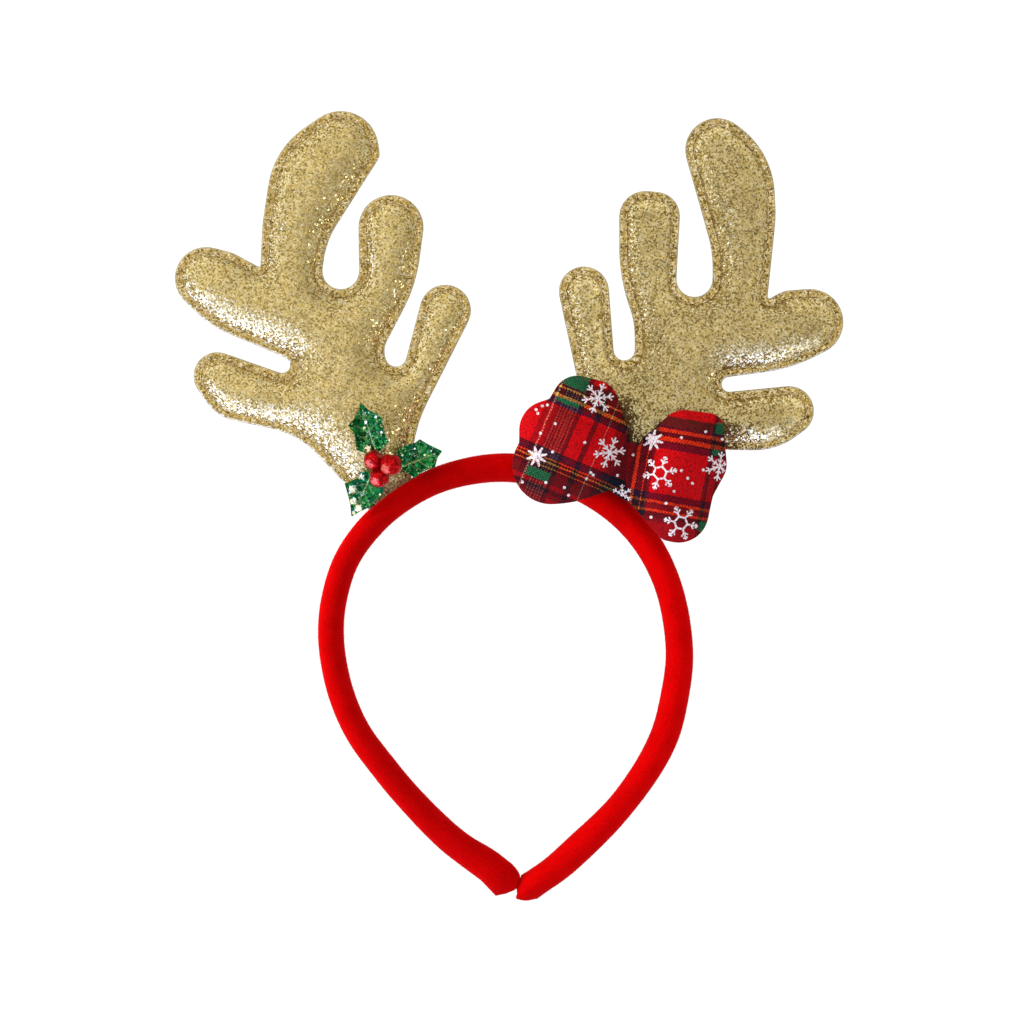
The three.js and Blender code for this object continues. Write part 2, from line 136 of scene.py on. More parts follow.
# Each leaf: base, tip, the height of both, its edge as shares of its length, and its painted highlights
# as station, reach and size, also in shares of its length
LEAVES = {
    "leaf_upper": {
        "base": (-47.6, 18.4), "tip": (-51.4, 35.5), "z": (15.0, 16.4),
        "left": [
            (0.0, 0.1), (0.06, 0.19), (0.12, 0.29), (0.35, 0.265), (0.48, 0.275), (0.63, 0.35), (0.72, 0.22),
            (0.87, 0.08), (1.0, 0.01),
        ],
        "right": [
            (0.0, 0.18), (0.15, 0.38), (0.3, 0.34), (0.47, 0.32), (0.62, 0.36), (0.71, 0.29), (0.85, 0.115),
            (1.0, 0.01),
        ],
        "bright": [
            (0.1, -0.07, 0.07), (0.62, 0.01, 0.03), (0.52, -0.04, 0.03), (0.68, 0.23, 0.03),
            (0.35, 0.27, 0.03),
        ],
    },
    "leaf_right": {
        "base": (-38.2, 14.4), "tip": (-23.3, 19.0), "z": (9.2, 11.0),
        "left": [
            (0.0, 0.16), (0.055, 0.32), (0.25, 0.37), (0.48, 0.355), (0.61, 0.4), (0.74, 0.25), (0.88, 0.12),
            (1.0, 0.01),
        ],
        "right": [
            (0.0, 0.06), (0.04, 0.12), (0.16, 0.3), (0.245, 0.4), (0.4, 0.33), (0.57, 0.3), (0.74, 0.31),
            (0.87, 0.11), (1.0, 0.01),
        ],
        "bright": [(0.13, -0.18, 0.03), (0.44, -0.23, 0.025), (0.61, -0.03, 0.03)],
    },
    "leaf_lower": {
        "base": (-46.6, 10.2), "tip": (-54.8, -3.7), "z": (13.8, 9.8),
        "left": [
            (0.0, 0.15), (0.12, 0.3), (0.2, 0.345), (0.3, 0.33), (0.43, 0.275), (0.54, 0.25), (0.66, 0.225),
            (0.83, 0.1), (1.0, 0.01),
        ],
        "right": [
            (0.0, 0.245), (0.11, 0.32), (0.19, 0.3), (0.3, 0.36), (0.47, 0.485), (0.57, 0.38), (0.69, 0.26),
            (0.83, 0.13), (1.0, 0.01),
        ],
        "bright": [
            (0.165, 0.26, 0.06), (0.5, 0.28, 0.09), (0.7, 0.13, 0.085), (0.78, -0.04, 0.08),
            (0.92, 0.0, 0.04), (0.28, -0.3, 0.03),
        ],
    },
}
LEAF_THICKNESS = 0.8
LEAF_FOLD = 0.22

# Each berry: x, y, z and radius
BERRIES = {
    "berry_upper": (-47.1, 15.7, 17.8, 2.8),
    "berry_right": (-41.1, 14.1, 19.3, 3.1),
    "berry_lower": (-45.0, 9.6, 17.7, 2.8),
}

# The frame's origin lies under the middle of the whole, so a berry tells how far the places above move
berry_low, berry_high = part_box("berry_upper")
BERRY_MIDDLE = [(low + high) / 2 / MM for low, high in zip(berry_low, berry_high)]
SHIFT_X = BERRY_MIDDLE[0] - BERRIES["berry_upper"][0]
SHIFT_Y = BERRY_MIDDLE[1] - BERRIES["berry_upper"][1]
SHIFT = np.array([SHIFT_X, SHIFT_Y, 0.0])


# Shader sockets and materials

class Tone:
    """A value on a surface, so that maths on it adds Math nodes."""

    def __init__(self, finish, socket):
        self.finish = finish
        self.socket = socket

    def maths(self, operation, *values):
        """A Math node on some values."""
        return self.finish.node("ShaderNodeMath", {"operation": operation}, values)

    def __add__(self, other):
        return self.maths("ADD", self, other)

    def __radd__(self, other):
        return self.maths("ADD", other, self)

    def __sub__(self, other):
        return self.maths("SUBTRACT", self, other)

    def __rsub__(self, other):
        return self.maths("SUBTRACT", other, self)

    def __mul__(self, other):
        return self.maths("MULTIPLY", self, other)

    def __rmul__(self, other):
        return self.maths("MULTIPLY", other, self)

    def __truediv__(self, other):
        return self.maths("DIVIDE", self, other)

    def __rtruediv__(self, other):
        return self.maths("DIVIDE", other, self)

    def __mod__(self, other):
        return self.maths("FLOORED_MODULO", self, other)

    def __pow__(self, other):
        return self.maths("POWER", self, other)

    def __gt__(self, other):
        return self.maths("GREATER_THAN", self, other)

    def smooth(self, low, high):
        """0 below low, 1 above high, and an even slope with soft ends between."""
        settings = {"interpolation_type": "SMOOTHSTEP"}
        return self.finish.node("ShaderNodeMapRange", settings, {0: self, 1: low, 2: high})


class Finish:
    """One procedural material and its nodes. Places on it are in millimetres."""

    def __init__(self, name):
        self.material = bpy.data.materials.new(name)
        self.material.use_nodes = True
        self.tree = self.material.node_tree
        self.tree.nodes.clear()
        where = self.node("ShaderNodeTexCoord", out="Object")
        self.place = self.vector("SCALE", where, factor=1 / MM)
        self.normal = self.node("ShaderNodeNewGeometry", out="Normal")

    def node(self, kind, settings=None, values=(), out=0):
        """Adds a node with its settings and the values of its sockets, and gives one of its outputs."""
        made = self.tree.nodes.new(kind)
        for key, value in (settings or {}).items():
            if key == "stops":
                self.fill_ramp(made.color_ramp, value)
            elif key == "ramp":
                made.color_ramp.interpolation = value
            else:
                setattr(made, key, value)
        given = values.items() if isinstance(values, dict) else enumerate(values)
        for key, value in given:
            if isinstance(value, Tone):
                self.tree.links.new(value.socket, made.inputs[key])
            else:
                made.inputs[key].default_value = value
        return Tone(self, made.outputs[out])

    @staticmethod
    def fill_ramp(ramp, stops):
        """Gives a ramp its stops, each a place from 0 to 1 and a colour."""
        while len(ramp.elements) < len(stops):
            ramp.elements.new(1.0)
        for element, (place, colour) in zip(ramp.elements, stops):
            element.position = place
            element.color = (*colour, 1.0)

    def vector(self, operation, *values, factor=None):
        """Maths on vectors or colours."""
        sockets = dict(enumerate(values))
        if factor is not None:
            sockets["Scale"] = factor
        return self.node("ShaderNodeVectorMath", {"operation": operation}, sockets)

    def mix(self, share, first, second, blend="MIX"):
        """A colour that goes from the first to the second."""
        colours = [tone if isinstance(tone, Tone) else (*tone, 1.0) for tone in (first, second)]
        settings = {"data_type": "RGBA", "blend_type": blend}
        return self.node("ShaderNodeMix", settings, {0: share, 6: colours[0], 7: colours[1]}, out=2)

    def part(self, vector, axis):
        """One of the three numbers of a vector or a colour."""
        return self.node("ShaderNodeSeparateXYZ", None, (vector,), out=axis)

    def ramp(self, share, stops, kind="LINEAR"):
        """The colour at a share from 0 to 1 of a row of colours."""
        return self.node("ShaderNodeValToRGB", {"ramp": kind, "stops": stops}, (share,))

    def cells(self, size):
        """Three random values for each flake of about a size."""
        sockets = {"Vector": self.place, "Scale": 1 / size}
        return self.node("ShaderNodeTexVoronoi", {"feature": "F1"}, sockets, "Color")

    def grain(self, size, detail=2.0):
        """Soft noise of about a size, round 0.5."""
        sockets = {"Vector": self.place, "Scale": 1 / size, "Detail": detail}
        return self.node("ShaderNodeTexNoise", None, sockets)

    def tilted(self, lean, tilt, base=None):
        """The surface's normal, leaned over by a random amount for each flake."""
        centred = self.vector("SUBTRACT", lean, (0.5, 0.5, 0.5))
        moved = self.vector("SCALE", centred, factor=tilt)
        return self.vector("NORMALIZE", self.vector("ADD", base or self.normal, moved))

    def painted(self, name):
        """A number that the mesh carries at each point."""
        return self.node("ShaderNodeAttribute", {"attribute_name": name}, out="Fac")

    def bumped(self, height, depth):
        """The normal of a surface that is uneven by a depth."""
        sockets = {"Strength": 1.0, "Distance": depth * MM, "Height": height}
        return self.node("ShaderNodeBump", None, sockets)

    def surface(self, **sockets):
        """Closes the material with one surface shader, named by its sockets."""
        shader = self.tree.nodes.new("ShaderNodeBsdfPrincipled")
        for key, value in sockets.items():
            socket = shader.inputs[key.replace("_", " ")]
            if isinstance(value, Tone):
                self.tree.links.new(value.socket, socket)
            else:
                socket.default_value = value
        output = self.tree.nodes.new("ShaderNodeOutputMaterial")
        self.tree.links.new(shader.outputs[0], output.inputs["Surface"])
        return self.material


def paint(red, green, blue):
    """A colour as a screen shows it, 0 to 255, turned into light by the sRGB curve."""
    shares = [value / 255 for value in (red, green, blue)]
    return tuple(share / 12.92 if share <= 0.04045 else ((share + 0.055) / 1.055) ** 2.4 for share in shares)


# Size of a gold flake, and how far the flattest and the loosest flakes lean out of the surface
GOLD_FLAKE = 0.5
FLAT_LEAN = 0.4
LOOSE_LEAN = 0.7
# Makes a second random value of a flake's first
RESHUFFLE = 7.3
# How far inside an antler's cut edge each look of its glitter begins, and where it is full
RIM_DEPTH = (0.25, 0.7)
SEAM_STARTS = (2.1, 2.45)
SEAM_ENDS = (2.7, 3.1)
FLANGE_DEPTH = (2.4, 4.4)
INSIDE_DEPTH = (3.2, 8.5)
CALM_DEPTH = (4.0, 9.0)
# The tint of the glitter well inside the edge
INSIDE_TINT = (1.0, 0.98, 0.9)


def gold_glitter(side, lean, painted_tones):
    """Glitter on a sheet that leans sideways, with painted light and shade on its flange, slope and middle.
    """
    finish = Finish(f"gold_glitter_{side}")
    flake = finish.cells(GOLD_FLAKE)
    chance = finish.part(flake, 0)
    depth = finish.painted("edge_depth")
    face = finish.ramp(chance, [
        (0.0, paint(120, 98, 38)),
        (0.2, paint(152, 127, 60)),
        (0.34, paint(190, 165, 96)),
        (0.65, paint(207, 184, 120)),
        (1.0, paint(234, 223, 184)),
    ])
    calm = finish.mix(depth.smooth(*CALM_DEPTH) * 0.24, face, paint(193, 170, 110))
    # A darker, more saturated gold for the flat flange
    flange_gold = finish.ramp(chance, [
        (0.0, paint(104, 78, 12)),
        (0.3, paint(166, 133, 54)),
        (0.7, paint(204, 171, 94)),
        (1.0, paint(246, 234, 196)),
    ])
    patchy = finish.grain(2.2) - 0.5
    flange = 1 - (depth + patchy * 3.0).smooth(*FLANGE_DEPTH)
    colour = finish.mix(flange * 0.75, calm, flange_gold)
    seam_line = depth.smooth(*SEAM_STARTS) * (1 - depth.smooth(*SEAM_ENDS))
    broken = finish.grain(1.1).smooth(0.4, 0.58)
    colour = finish.mix(seam_line * broken * 0.3, colour, paint(122, 94, 30))
    rim = 1 - depth.smooth(*RIM_DEPTH)
    colour = finish.mix(rim * 0.6, colour, paint(202, 188, 148))
    # Painted shade and reflection of the hoop: dark reddish brown in the glitter next to it
    colour = finish.mix(finish.painted("near_hoop") * 0.85, colour, paint(100, 48, 32))
    # Painted light and shade: a brightness for the flange, the slope and the middle of each antler, and a
    # soft random mottle
    at_flange, at_slope, in_middle = painted_tones
    inside = depth.smooth(*INSIDE_DEPTH)
    colour = finish.mix(inside, colour, finish.mix(1.0, colour, INSIDE_TINT, "MULTIPLY"))
    bright = at_slope + inside * (in_middle - at_slope) + flange * (at_flange - at_slope)
    bright = bright + (finish.grain(4.0) - 0.5) * 0.5
    colour = finish.vector("SCALE", colour, factor=bright)
    gap = 1 - chance.smooth(0.2, 0.3)
    loose = (finish.part(flake, 1) * RESHUFFLE) % 1.0
    tilt = FLAT_LEAN + (LOOSE_LEAN - FLAT_LEAN) * loose ** 2.0
    leaned = finish.vector("ADD", finish.normal, (*lean, 0.0))
    return finish.surface(
        Base_Color=colour,
        Metallic=0.8,
        Roughness=0.2 + 0.45 * gap,
        Normal=finish.tilted(flake, tilt, leaned),
    )


def stitch_thread():
    """Shiny gold sewing thread."""
    finish = Finish("stitch_thread")
    strand = finish.grain(0.45)
    colour = finish.ramp(strand, [
        (0.3, paint(150, 122, 58)),
        (0.5, paint(200, 172, 104)),
        (0.7, paint(240, 226, 180)),
    ])
    return finish.surface(Base_Color=colour, Metallic=0.6, Roughness=0.35, Normal=finish.bumped(strand, 0.1))


def red_velvet():
    """The ground of the velvet, scaled by painted light and shade that the hoop carries at each point."""
    finish = Finish("red_velvet")
    nap = finish.grain(0.45, 3.0)
    patch = finish.grain(7.0, 2.0)
    colour = finish.ramp(nap * 0.6 + patch * 0.4, [
        (0.3, paint(206, 0, 0)),
        (0.5, paint(236, 0, 0)),
        (0.7, paint(250, 3, 5)),
    ])
    # Painted light and shade, carried by the hoop's points
    colour = finish.vector("SCALE", colour, factor=finish.painted("brushed"))
    return finish.surface(
        Base_Color=colour,
        Roughness=0.95,
        Specular_IOR_Level=0.02,
        Sheen_Weight=0.1,
        Sheen_Roughness=0.35,
        Sheen_Tint=(1.0, 0.22, 0.22, 1.0),
        Normal=finish.bumped(nap, 0.2),
    )


def velvet_pile():
    """The fibres on the velvet."""
    finish = Finish("velvet_pile")
    strand = finish.grain(0.8)
    colour = finish.ramp(strand, [(0.35, paint(200, 2, 4)), (0.65, paint(244, 14, 18))])
    return finish.surface(Base_Color=colour, Roughness=0.9, Specular_IOR_Level=0.1)


def leaf_foil():
    """Green foil with facets, pale flecks, veins and painted highlight patches."""
    finish = Finish("leaf_foil")
    facet = finish.cells(1.0)
    fleck = finish.cells(0.42)
    chance = finish.part(fleck, 2)
    colour = finish.ramp(finish.part(facet, 1), [
        (0.0, paint(0, 42, 16)),
        (0.45, paint(2, 74, 30)),
        (0.8, paint(12, 106, 46)),
        (1.0, paint(44, 140, 72)),
    ])
    colour = finish.mix(chance.smooth(0.92, 0.97) * 0.6, colour, paint(194, 216, 150))
    colour = finish.mix(finish.painted("vein") * 0.6, colour, paint(186, 204, 128))
    # Painted highlights: pale patches where the leaf carries them
    shine = (finish.painted("shine") + (chance - 0.5) * 0.3).smooth(0.5, 0.66)
    colour = finish.mix(shine, colour, paint(248, 244, 196))
    return finish.surface(
        Base_Color=colour,
        Metallic=0.75,
        Roughness=0.25,
        Specular_IOR_Level=0.15,
        Normal=finish.tilted(fleck, 0.3, finish.tilted(facet, 0.5)),
    )


def berry_foil():
    """Red glitter foil with a painted highlight patch."""
    finish = Finish("berry_foil")
    flake = finish.cells(0.5)
    colour = finish.ramp(finish.part(flake, 1), [
        (0.0, paint(112, 0, 2)),
        (0.5, paint(172, 0, 3)),
        (0.9, paint(198, 2, 6)),
        (1.0, paint(228, 40, 40)),
    ])
    # Painted highlight: a pale pink patch where the berry carries it
    shine = (finish.painted("shine") + (finish.part(flake, 2) - 0.5) * 0.9).smooth(0.45, 0.75)
    return finish.surface(
        Base_Color=finish.mix(shine * 0.6, colour, paint(244, 122, 104)),
        Metallic=0.6,
        Roughness=0.3,
        Specular_IOR_Level=0.12,
        Normal=finish.tilted(flake, 0.18),
    )


def snow_print():
    """White print that the cloth shows through in places."""
    finish = Finish("snow_print")
    fleck = finish.grain(0.6)
    colour = finish.ramp(fleck, [
        (0.36, paint(192, 104, 114)),
        (0.46, paint(226, 216, 222)),
        (0.62, paint(248, 248, 252)),
    ])
    return finish.surface(Base_Color=colour, Roughness=0.55, Normal=finish.bumped(fleck, 0.08))


# The tartan's thread colours
THREADS = {
    "red": paint(214, 6, 14),
    "deep_red": paint(150, 6, 16),
    "taupe": paint(160, 92, 78),
    "umber": paint(66, 30, 24),
    "maroon": paint(92, 22, 28),
    "black": paint(18, 16, 22),
    "navy": paint(22, 30, 66),
    "purple": paint(76, 14, 58),
    "green": paint(8, 118, 72),
    "forest": paint(20, 56, 42),
    "yellow": paint(214, 182, 62),
    "orange": paint(232, 104, 26),
    "pale": paint(236, 190, 160),
}
# The pinstripes on the bow's left side: start, end, how many, their pitch and the pale one's width
PIN_START = -8.0
PIN_END = -1.2
PIN_COUNT = 6
PIN_PITCH = 1.14
PIN_WIDTH = 0.56
PINSTRIPES = [
    (round(PIN_START + k * PIN_PITCH + shift, 2), thread)
    for k in range(PIN_COUNT)
    for shift, thread in ((0.0, "taupe"), (PIN_WIDTH, "maroon"))
]
# Stripes as where each starts and its thread: bands go down from a side's middle, uprights to the right
# The left side's last bands and uprights, at its bottom and by its waist, are dark stripes deepened by
# painted shade
LEFT_BANDS = [
    (-30.0, "red"), (-21.0, "umber"), (-17.1, "black"), (-16.4, "yellow"), (-15.8, "black"),
    (-13.6, "yellow"), (-12.2, "black"), (-11.1, "navy"), (-9.5, "red"), (5.8, "black"), (6.6, "navy"),
    (8.5, "orange"), (9.2, "black"), (9.7, "yellow"), (10.5, "black"), (11.6, "yellow"), (12.1, "black"),
    (13.6, "umber"), (17.0, "deep_red"), (18.6, "black"), (20.2, "maroon"), (21.6, "deep_red"),
]
LEFT_UPRIGHTS = [
    (-30.0, "red"), (-13.0, "deep_red"), (-10.9, "pale"), (-10.3, "deep_red"), (-8.4, "black"),
    *PINSTRIPES, (PIN_END, "maroon"), (-0.2, "red"), (4.7, "maroon"), (6.6, "red"),
    (10.1, "pale"), (10.6, "red"), (13.2, "deep_red"), (15.6, "maroon"), (17.6, "black"),
]
RIGHT_BANDS = [
    (-30.0, "red"), (-18.9, "forest"), (-15.5, "navy"), (-14.6, "orange"), (-13.2, "black"),
    (-11.8, "orange"), (-10.2, "black"), (-9.5, "purple"), (-7.2, "red"), (8.2, "purple"),
    (10.8, "orange"), (11.6, "maroon"), (13.9, "orange"), (14.8, "black"), (16.6, "maroon"),
    (18.4, "deep_red"),
]
RIGHT_UPRIGHTS = [
    (-40.0, "maroon"), (-20.4, "black"), (-19.4, "maroon"), (-18.0, "black"), (-16.3, "orange"),
    (-15.2, "black"), (-12.7, "orange"), (-12.2, "black"), (-11.2, "maroon"), (-10.0, "red"),
    (8.3, "maroon"), (9.3, "black"), (10.0, "deep_red"), (12.0, "black"), (13.2, "deep_red"),
]
# The green squares where two green stripes cross: ends of the upright, and start and end of each band
LEFT_GREEN = ((-9.8, -1.6), [(-30.0, -17.1), (-12.4, -10.8), (13.6, 17.0)])
RIGHT_GREEN = ((9.4, 12.2), [(-19.5, -15.5), (-10.0, -8.0), (15.4, 19.0)])
# The cloth of each side: its middle on the bow, how far its bands slant, its stripes and its squares
CLOTH = {
    "left": {
        "middle": (21.5, 22.9), "slant": math.radians(-23),
        "bands": LEFT_BANDS, "uprights": LEFT_UPRIGHTS, "green": LEFT_GREEN,
    },
    "right": {
        "middle": (60.0, 11.4), "slant": math.radians(-10),
        "bands": RIGHT_BANDS, "uprights": RIGHT_UPRIGHTS, "green": RIGHT_GREEN,
    },
}
# How far from a side's middle its stripes reach, two threads' width, and where the two cloths meet
STRIPE_REACH = 40.0
WEAVE_PITCH = 1.1
WAIST_X = 41.0
# How much the darker of two crossing threads shows as painted shade of the weave, and how much a square's
# green shows
THREAD_RELIEF_SHADE = 0.6
GREEN_THREADS = 0.85
# The shade of the deepest threads and of the highest
DEEP_SHADE = (0.36, 0.36, 0.36)
FULL_LIGHT = (1.0, 1.0, 1.0)


def tartan():
    """Threads of both ways that go over and under each other, in a cloth for each side of the waist."""
    finish = Finish("tartan")
    x = finish.part(finish.place, 0) - SHIFT_X
    y = finish.part(finish.place, 1) - SHIFT_Y
    uneven = (finish.grain(2.5) - 0.5) * 0.7

    def stripes(distance, table):
        stops = [((start + STRIPE_REACH) / (2 * STRIPE_REACH), THREADS[thread]) for start, thread in table]
        return finish.ramp((distance + uneven + STRIPE_REACH) / (2 * STRIPE_REACH), stops, "CONSTANT")

    def woven(side):
        (mx, my), slant = CLOTH[side]["middle"], CLOTH[side]["slant"]
        along = (x - mx) * math.cos(slant) + (y - my) * math.sin(slant)
        down = (x - mx) * math.sin(slant) - (y - my) * math.cos(slant)
        raised = (along % WEAVE_PITCH) > WEAVE_PITCH / 2
        crossed = (down % WEAVE_PITCH) > WEAVE_PITCH / 2
        over = raised + crossed - raised * crossed * 2
        warp = stripes(along, CLOTH[side]["uprights"])
        weft = stripes(down, CLOTH[side]["bands"])
        # Painted shade of the weave: the darker thread of each crossing
        relief_shade_colour = finish.mix(1.0, warp, weft, "DARKEN")
        cloth = finish.mix(THREAD_RELIEF_SHADE, finish.mix(over, warp, weft), relief_shade_colour)
        (start, end), rows = CLOTH[side]["green"]
        square = sum((down + uneven > top) * (1 - (down + uneven > bottom)) for top, bottom in rows)
        square = square * (along + uneven > start) * (1 - (along + uneven > end))
        green = finish.mix(over * 0.8, THREADS["green"], THREADS["forest"])
        return finish.mix(square * GREEN_THREADS, cloth, green)

    cloth = finish.mix(x > WAIST_X, woven("left"), woven("right"))
    fuzz = finish.grain(0.7, 3.0)
    rib = ((x + y) % WEAVE_PITCH).smooth(0.1, 0.8)
    shade = finish.ramp(fuzz * 0.92 + rib * 0.08, [(0.3, DEEP_SHADE), (0.58, FULL_LIGHT)])
    return finish.surface(
        Base_Color=finish.mix(1.0, cloth, shade, "MULTIPLY"),
        Roughness=0.9,
        Specular_IOR_Level=0.08,
        Normal=finish.bumped(fuzz, 0.15),
    )


# Mesh helpers

# A belt's turn the other way at most, and its turn in one step
WRONG_TURN = FULL_TURN / 8
BEND_STEP = 0.3
# How many steps a stretch of the hoop's curve is drawn with
CURVE_STEPS = 40
# How far from a loop the points inside it lie at least, as a share of their pitch
CLEAR_SHARE = 0.7
# Limits for working out a filled height: least area and stiffness, most rounds, and when it is done
LEAST_AREA = 1e-9
LEAST_WEIGHT = 1e-4
MOST_ROUNDS = 400
LEAST_REST = 1e-10
# Height from which rays go down, in metres
RAY_START = 1.0


def make_piece(name, points, faces, material):
    """A smooth mesh piece from points in millimetres."""
    mesh = bpy.data.meshes.new(name)
    placed = (np.asarray(points, dtype=float) + SHIFT) * MM
    mesh.from_pydata(placed.tolist(), [], faces)
    mesh.materials.append(material)
    mesh.polygons.foreach_set("use_smooth", [True] * len(mesh.polygons))
    mesh.update()
    made = bpy.data.objects.new(name, mesh)
    bpy.context.collection.objects.link(made)
    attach(made, "root")
    return made


def carry(piece, name, values):
    """Gives each point of a piece a number that its material reads."""
    piece.data.attributes.new(name, "FLOAT", "POINT").data.foreach_set("value", values)


def smoothstep(share):
    """0 below 0, 1 above 1, and a slope with soft ends between."""
    share = np.clip(share, 0.0, 1.0)
    return share * share * (3 - 2 * share)


def flat_tree(points):
    """A tree that finds the nearest of some flat points."""
    tree = KDTree(len(points))
    for i, (x, y) in enumerate(points):
        tree.insert((x, y, 0), i)
    tree.balance()
    return tree


def away_from(tree, flat):
    """How far each of some flat points lies from the nearest point of a tree."""
    return np.array([tree.find((x, y, 0))[2] for x, y in flat])


def from_line(flat, start, end):
    """Distance of points from a straight line between two points, and how far along it they lie."""
    start, end = np.array(start), np.array(end)
    way = end - start
    share = np.clip(((flat - start) @ way) / (way @ way), 0, 1)
    return np.linalg.norm(flat - start - share[:, None] * way, axis=1), share


def distances(line):
    """How far along a line of points each of them lies."""
    return np.concatenate([[0], np.cumsum(np.linalg.norm(np.diff(line, axis=0), axis=1))])


def tube_faces(rows, sides, first=0):
    """Faces of a closed tube whose rows of points follow each other, from a first point on."""
    faces = []
    last = first + (rows - 1) * sides
    for here in range(first, last, sides):
        for a in range(sides):
            b = (a + 1) % sides
            faces.append((here + a, here + sides + a, here + sides + b, here + b))
    faces.append(tuple(range(first, first + sides)))
    faces.append(tuple(reversed(range(last, last + sides))))
    return faces


def surface_of(piece):
    """A piece's final surface, to cast rays at."""
    return BVHTree.FromObject(piece, bpy.context.evaluated_depsgraph_get())


def below(surface, x, y):
    """Where a ray straight down meets a surface first, and the normal there. Places are in metres."""
    return surface.ray_cast(Vector((x, y, RAY_START)), Vector((0, 0, -1)))[:2]


def belt_outline(pegs, step):
    """Points and outward directions of a belt round the pegs, about a step apart."""
    count = len(pegs)
    headings = []
    for (_, ax, ay, ar), (_, bx, by, br) in zip(pegs, pegs[1:] + pegs[:1]):
        lean = math.asin((ar - br) / math.hypot(bx - ax, by - ay))
        headings.append(math.atan2(by - ay, bx - ax) - lean)
    arcs = []
    for i, (_, px, py, radius) in enumerate(pegs):
        start = headings[i - 1]
        # The belt turns right round a peg and left round a hollow, or the other way by this little at most
        most_left = WRONG_TURN if radius > 0 else FULL_TURN - WRONG_TURN
        turn = most_left - (most_left - (headings[i] - start)) % FULL_TURN
        steps = max(1, math.ceil(abs(turn * radius) / step), math.ceil(abs(turn) / BEND_STEP))
        heading = start + turn * np.linspace(0, 1, steps + 1)
        out = np.stack([-np.sin(heading), np.cos(heading)], axis=1)
        arcs.append((np.array([px, py]) + radius * out, out))
    points, outward = [], []
    for i, (arc, out) in enumerate(arcs):
        gap = arcs[(i + 1) % count][0][0] - arc[-1]
        pieces = max(1, math.ceil(np.linalg.norm(gap) / step))
        share = np.arange(1, pieces)[:, None] / pieces
        points += [arc, arc[-1] + gap * share]
        outward += [out, np.repeat(out[-1:], len(share), axis=0)]
    return np.vstack(points), np.vstack(outward)


def lattice_inside(loop, pitch):
    """Even points inside a closed loop, clear of it by most of the pitch."""
    low, high = loop.min(axis=0), loop.max(axis=0)
    rows = np.arange(low[1], high[1], pitch * math.sqrt(3) / 2)
    columns = np.arange(low[0], high[0], pitch)
    grid = np.array([(x + pitch / 2 * (k % 2), y) for k, y in enumerate(rows) for x in columns])
    inside = np.zeros(len(grid), dtype=bool)
    for (ax, ay), (bx, by) in zip(loop, np.roll(loop, -1, axis=0)):
        if ay == by:
            continue
        spans = (ay > grid[:, 1]) != (by > grid[:, 1])
        inside ^= spans & (grid[:, 0] < ax + (bx - ax) * (grid[:, 1] - ay) / (by - ay))
    grid = grid[inside]
    return grid[away_from(flat_tree(loop), grid) > CLEAR_SHARE * pitch]


def filled_height(flat, faces, held, softness):
    """Height share of a layer on soft filling, 0 where it is held and towards 1 well away from there."""
    corners = flat[faces]
    count = len(flat)
    starts, ends, weights = [], [], []
    cross = (corners[:, 1, 0] - corners[:, 0, 0]) * (corners[:, 2, 1] - corners[:, 0, 1])
    cross -= (corners[:, 1, 1] - corners[:, 0, 1]) * (corners[:, 2, 0] - corners[:, 0, 0])
    doubled = np.maximum(np.abs(cross), LEAST_AREA)
    for k in range(3):
        a, b = (k + 1) % 3, (k + 2) % 3
        facing = ((corners[:, a] - corners[:, k]) * (corners[:, b] - corners[:, k])).sum(axis=1)
        starts += [faces[:, a], faces[:, b]]
        ends += [faces[:, b], faces[:, a]]
        weights += [facing / doubled / 2] * 2
    starts, ends = np.concatenate(starts), np.concatenate(ends)
    weights = np.maximum(np.concatenate(weights), LEAST_WEIGHT) * softness**2
    patch = np.bincount(faces.ravel(), np.repeat(doubled / 6, 3), count)
    diagonal = patch + np.bincount(starts, weights, count)
    free = (~held).astype(float)

    def pulled(values):
        return free * (diagonal * values - np.bincount(starts, weights * values[ends], count))

    height = np.zeros(count)
    rest = free * patch
    step = rest / diagonal
    strength = rest @ step
    for _ in range(MOST_ROUNDS):
        answer = pulled(step)
        share = strength / (step @ answer)
        height += share * step
        rest = rest - share * answer
        ready = rest / diagonal
        new_strength = rest @ ready
        if new_strength < LEAST_REST:
            break
        step = ready + new_strength / strength * step
        strength = new_strength
    return height


def hoop_points(step):
    """The hoop's middle line as a smooth curve, with points a step apart."""
    line = [np.array(p) for p in HOOP_LINE]
    line = [2 * line[0] - line[1], *line, 2 * line[-1] - line[-2]]
    dense = []
    share = np.linspace(0, 1, CURVE_STEPS, endpoint=False)[:, None]
    for a, b, c, d in zip(line, line[1:], line[2:], line[3:]):
        ab, bc, cd = (math.sqrt(np.linalg.norm(q - p)) for p, q in ((a, b), (b, c), (c, d)))
        leave = ((b - a) / ab - (c - a) / (ab + bc) + (c - b) / bc) * bc
        arrive = ((c - b) / bc - (d - b) / (bc + cd) + (d - c) / cd) * bc
        dense.append(
            b + leave * share
            + (3 * (c - b) - 2 * leave - arrive) * share**2
            + (2 * (b - c) + leave + arrive) * share**3
        )
    dense = np.vstack([*dense, line[-2]])
    run = distances(dense)
    stations = np.linspace(0, run[-1], round(run[-1] / step) + 1)
    return np.stack([np.interp(stations, run, dense[:, k]) for k in range(2)], axis=1)


# A point of the middle line for each millimetre of the hoop
HOOP_PATH = hoop_points(1.0)
HOOP_TREE = flat_tree(HOOP_PATH)


# Padded pieces

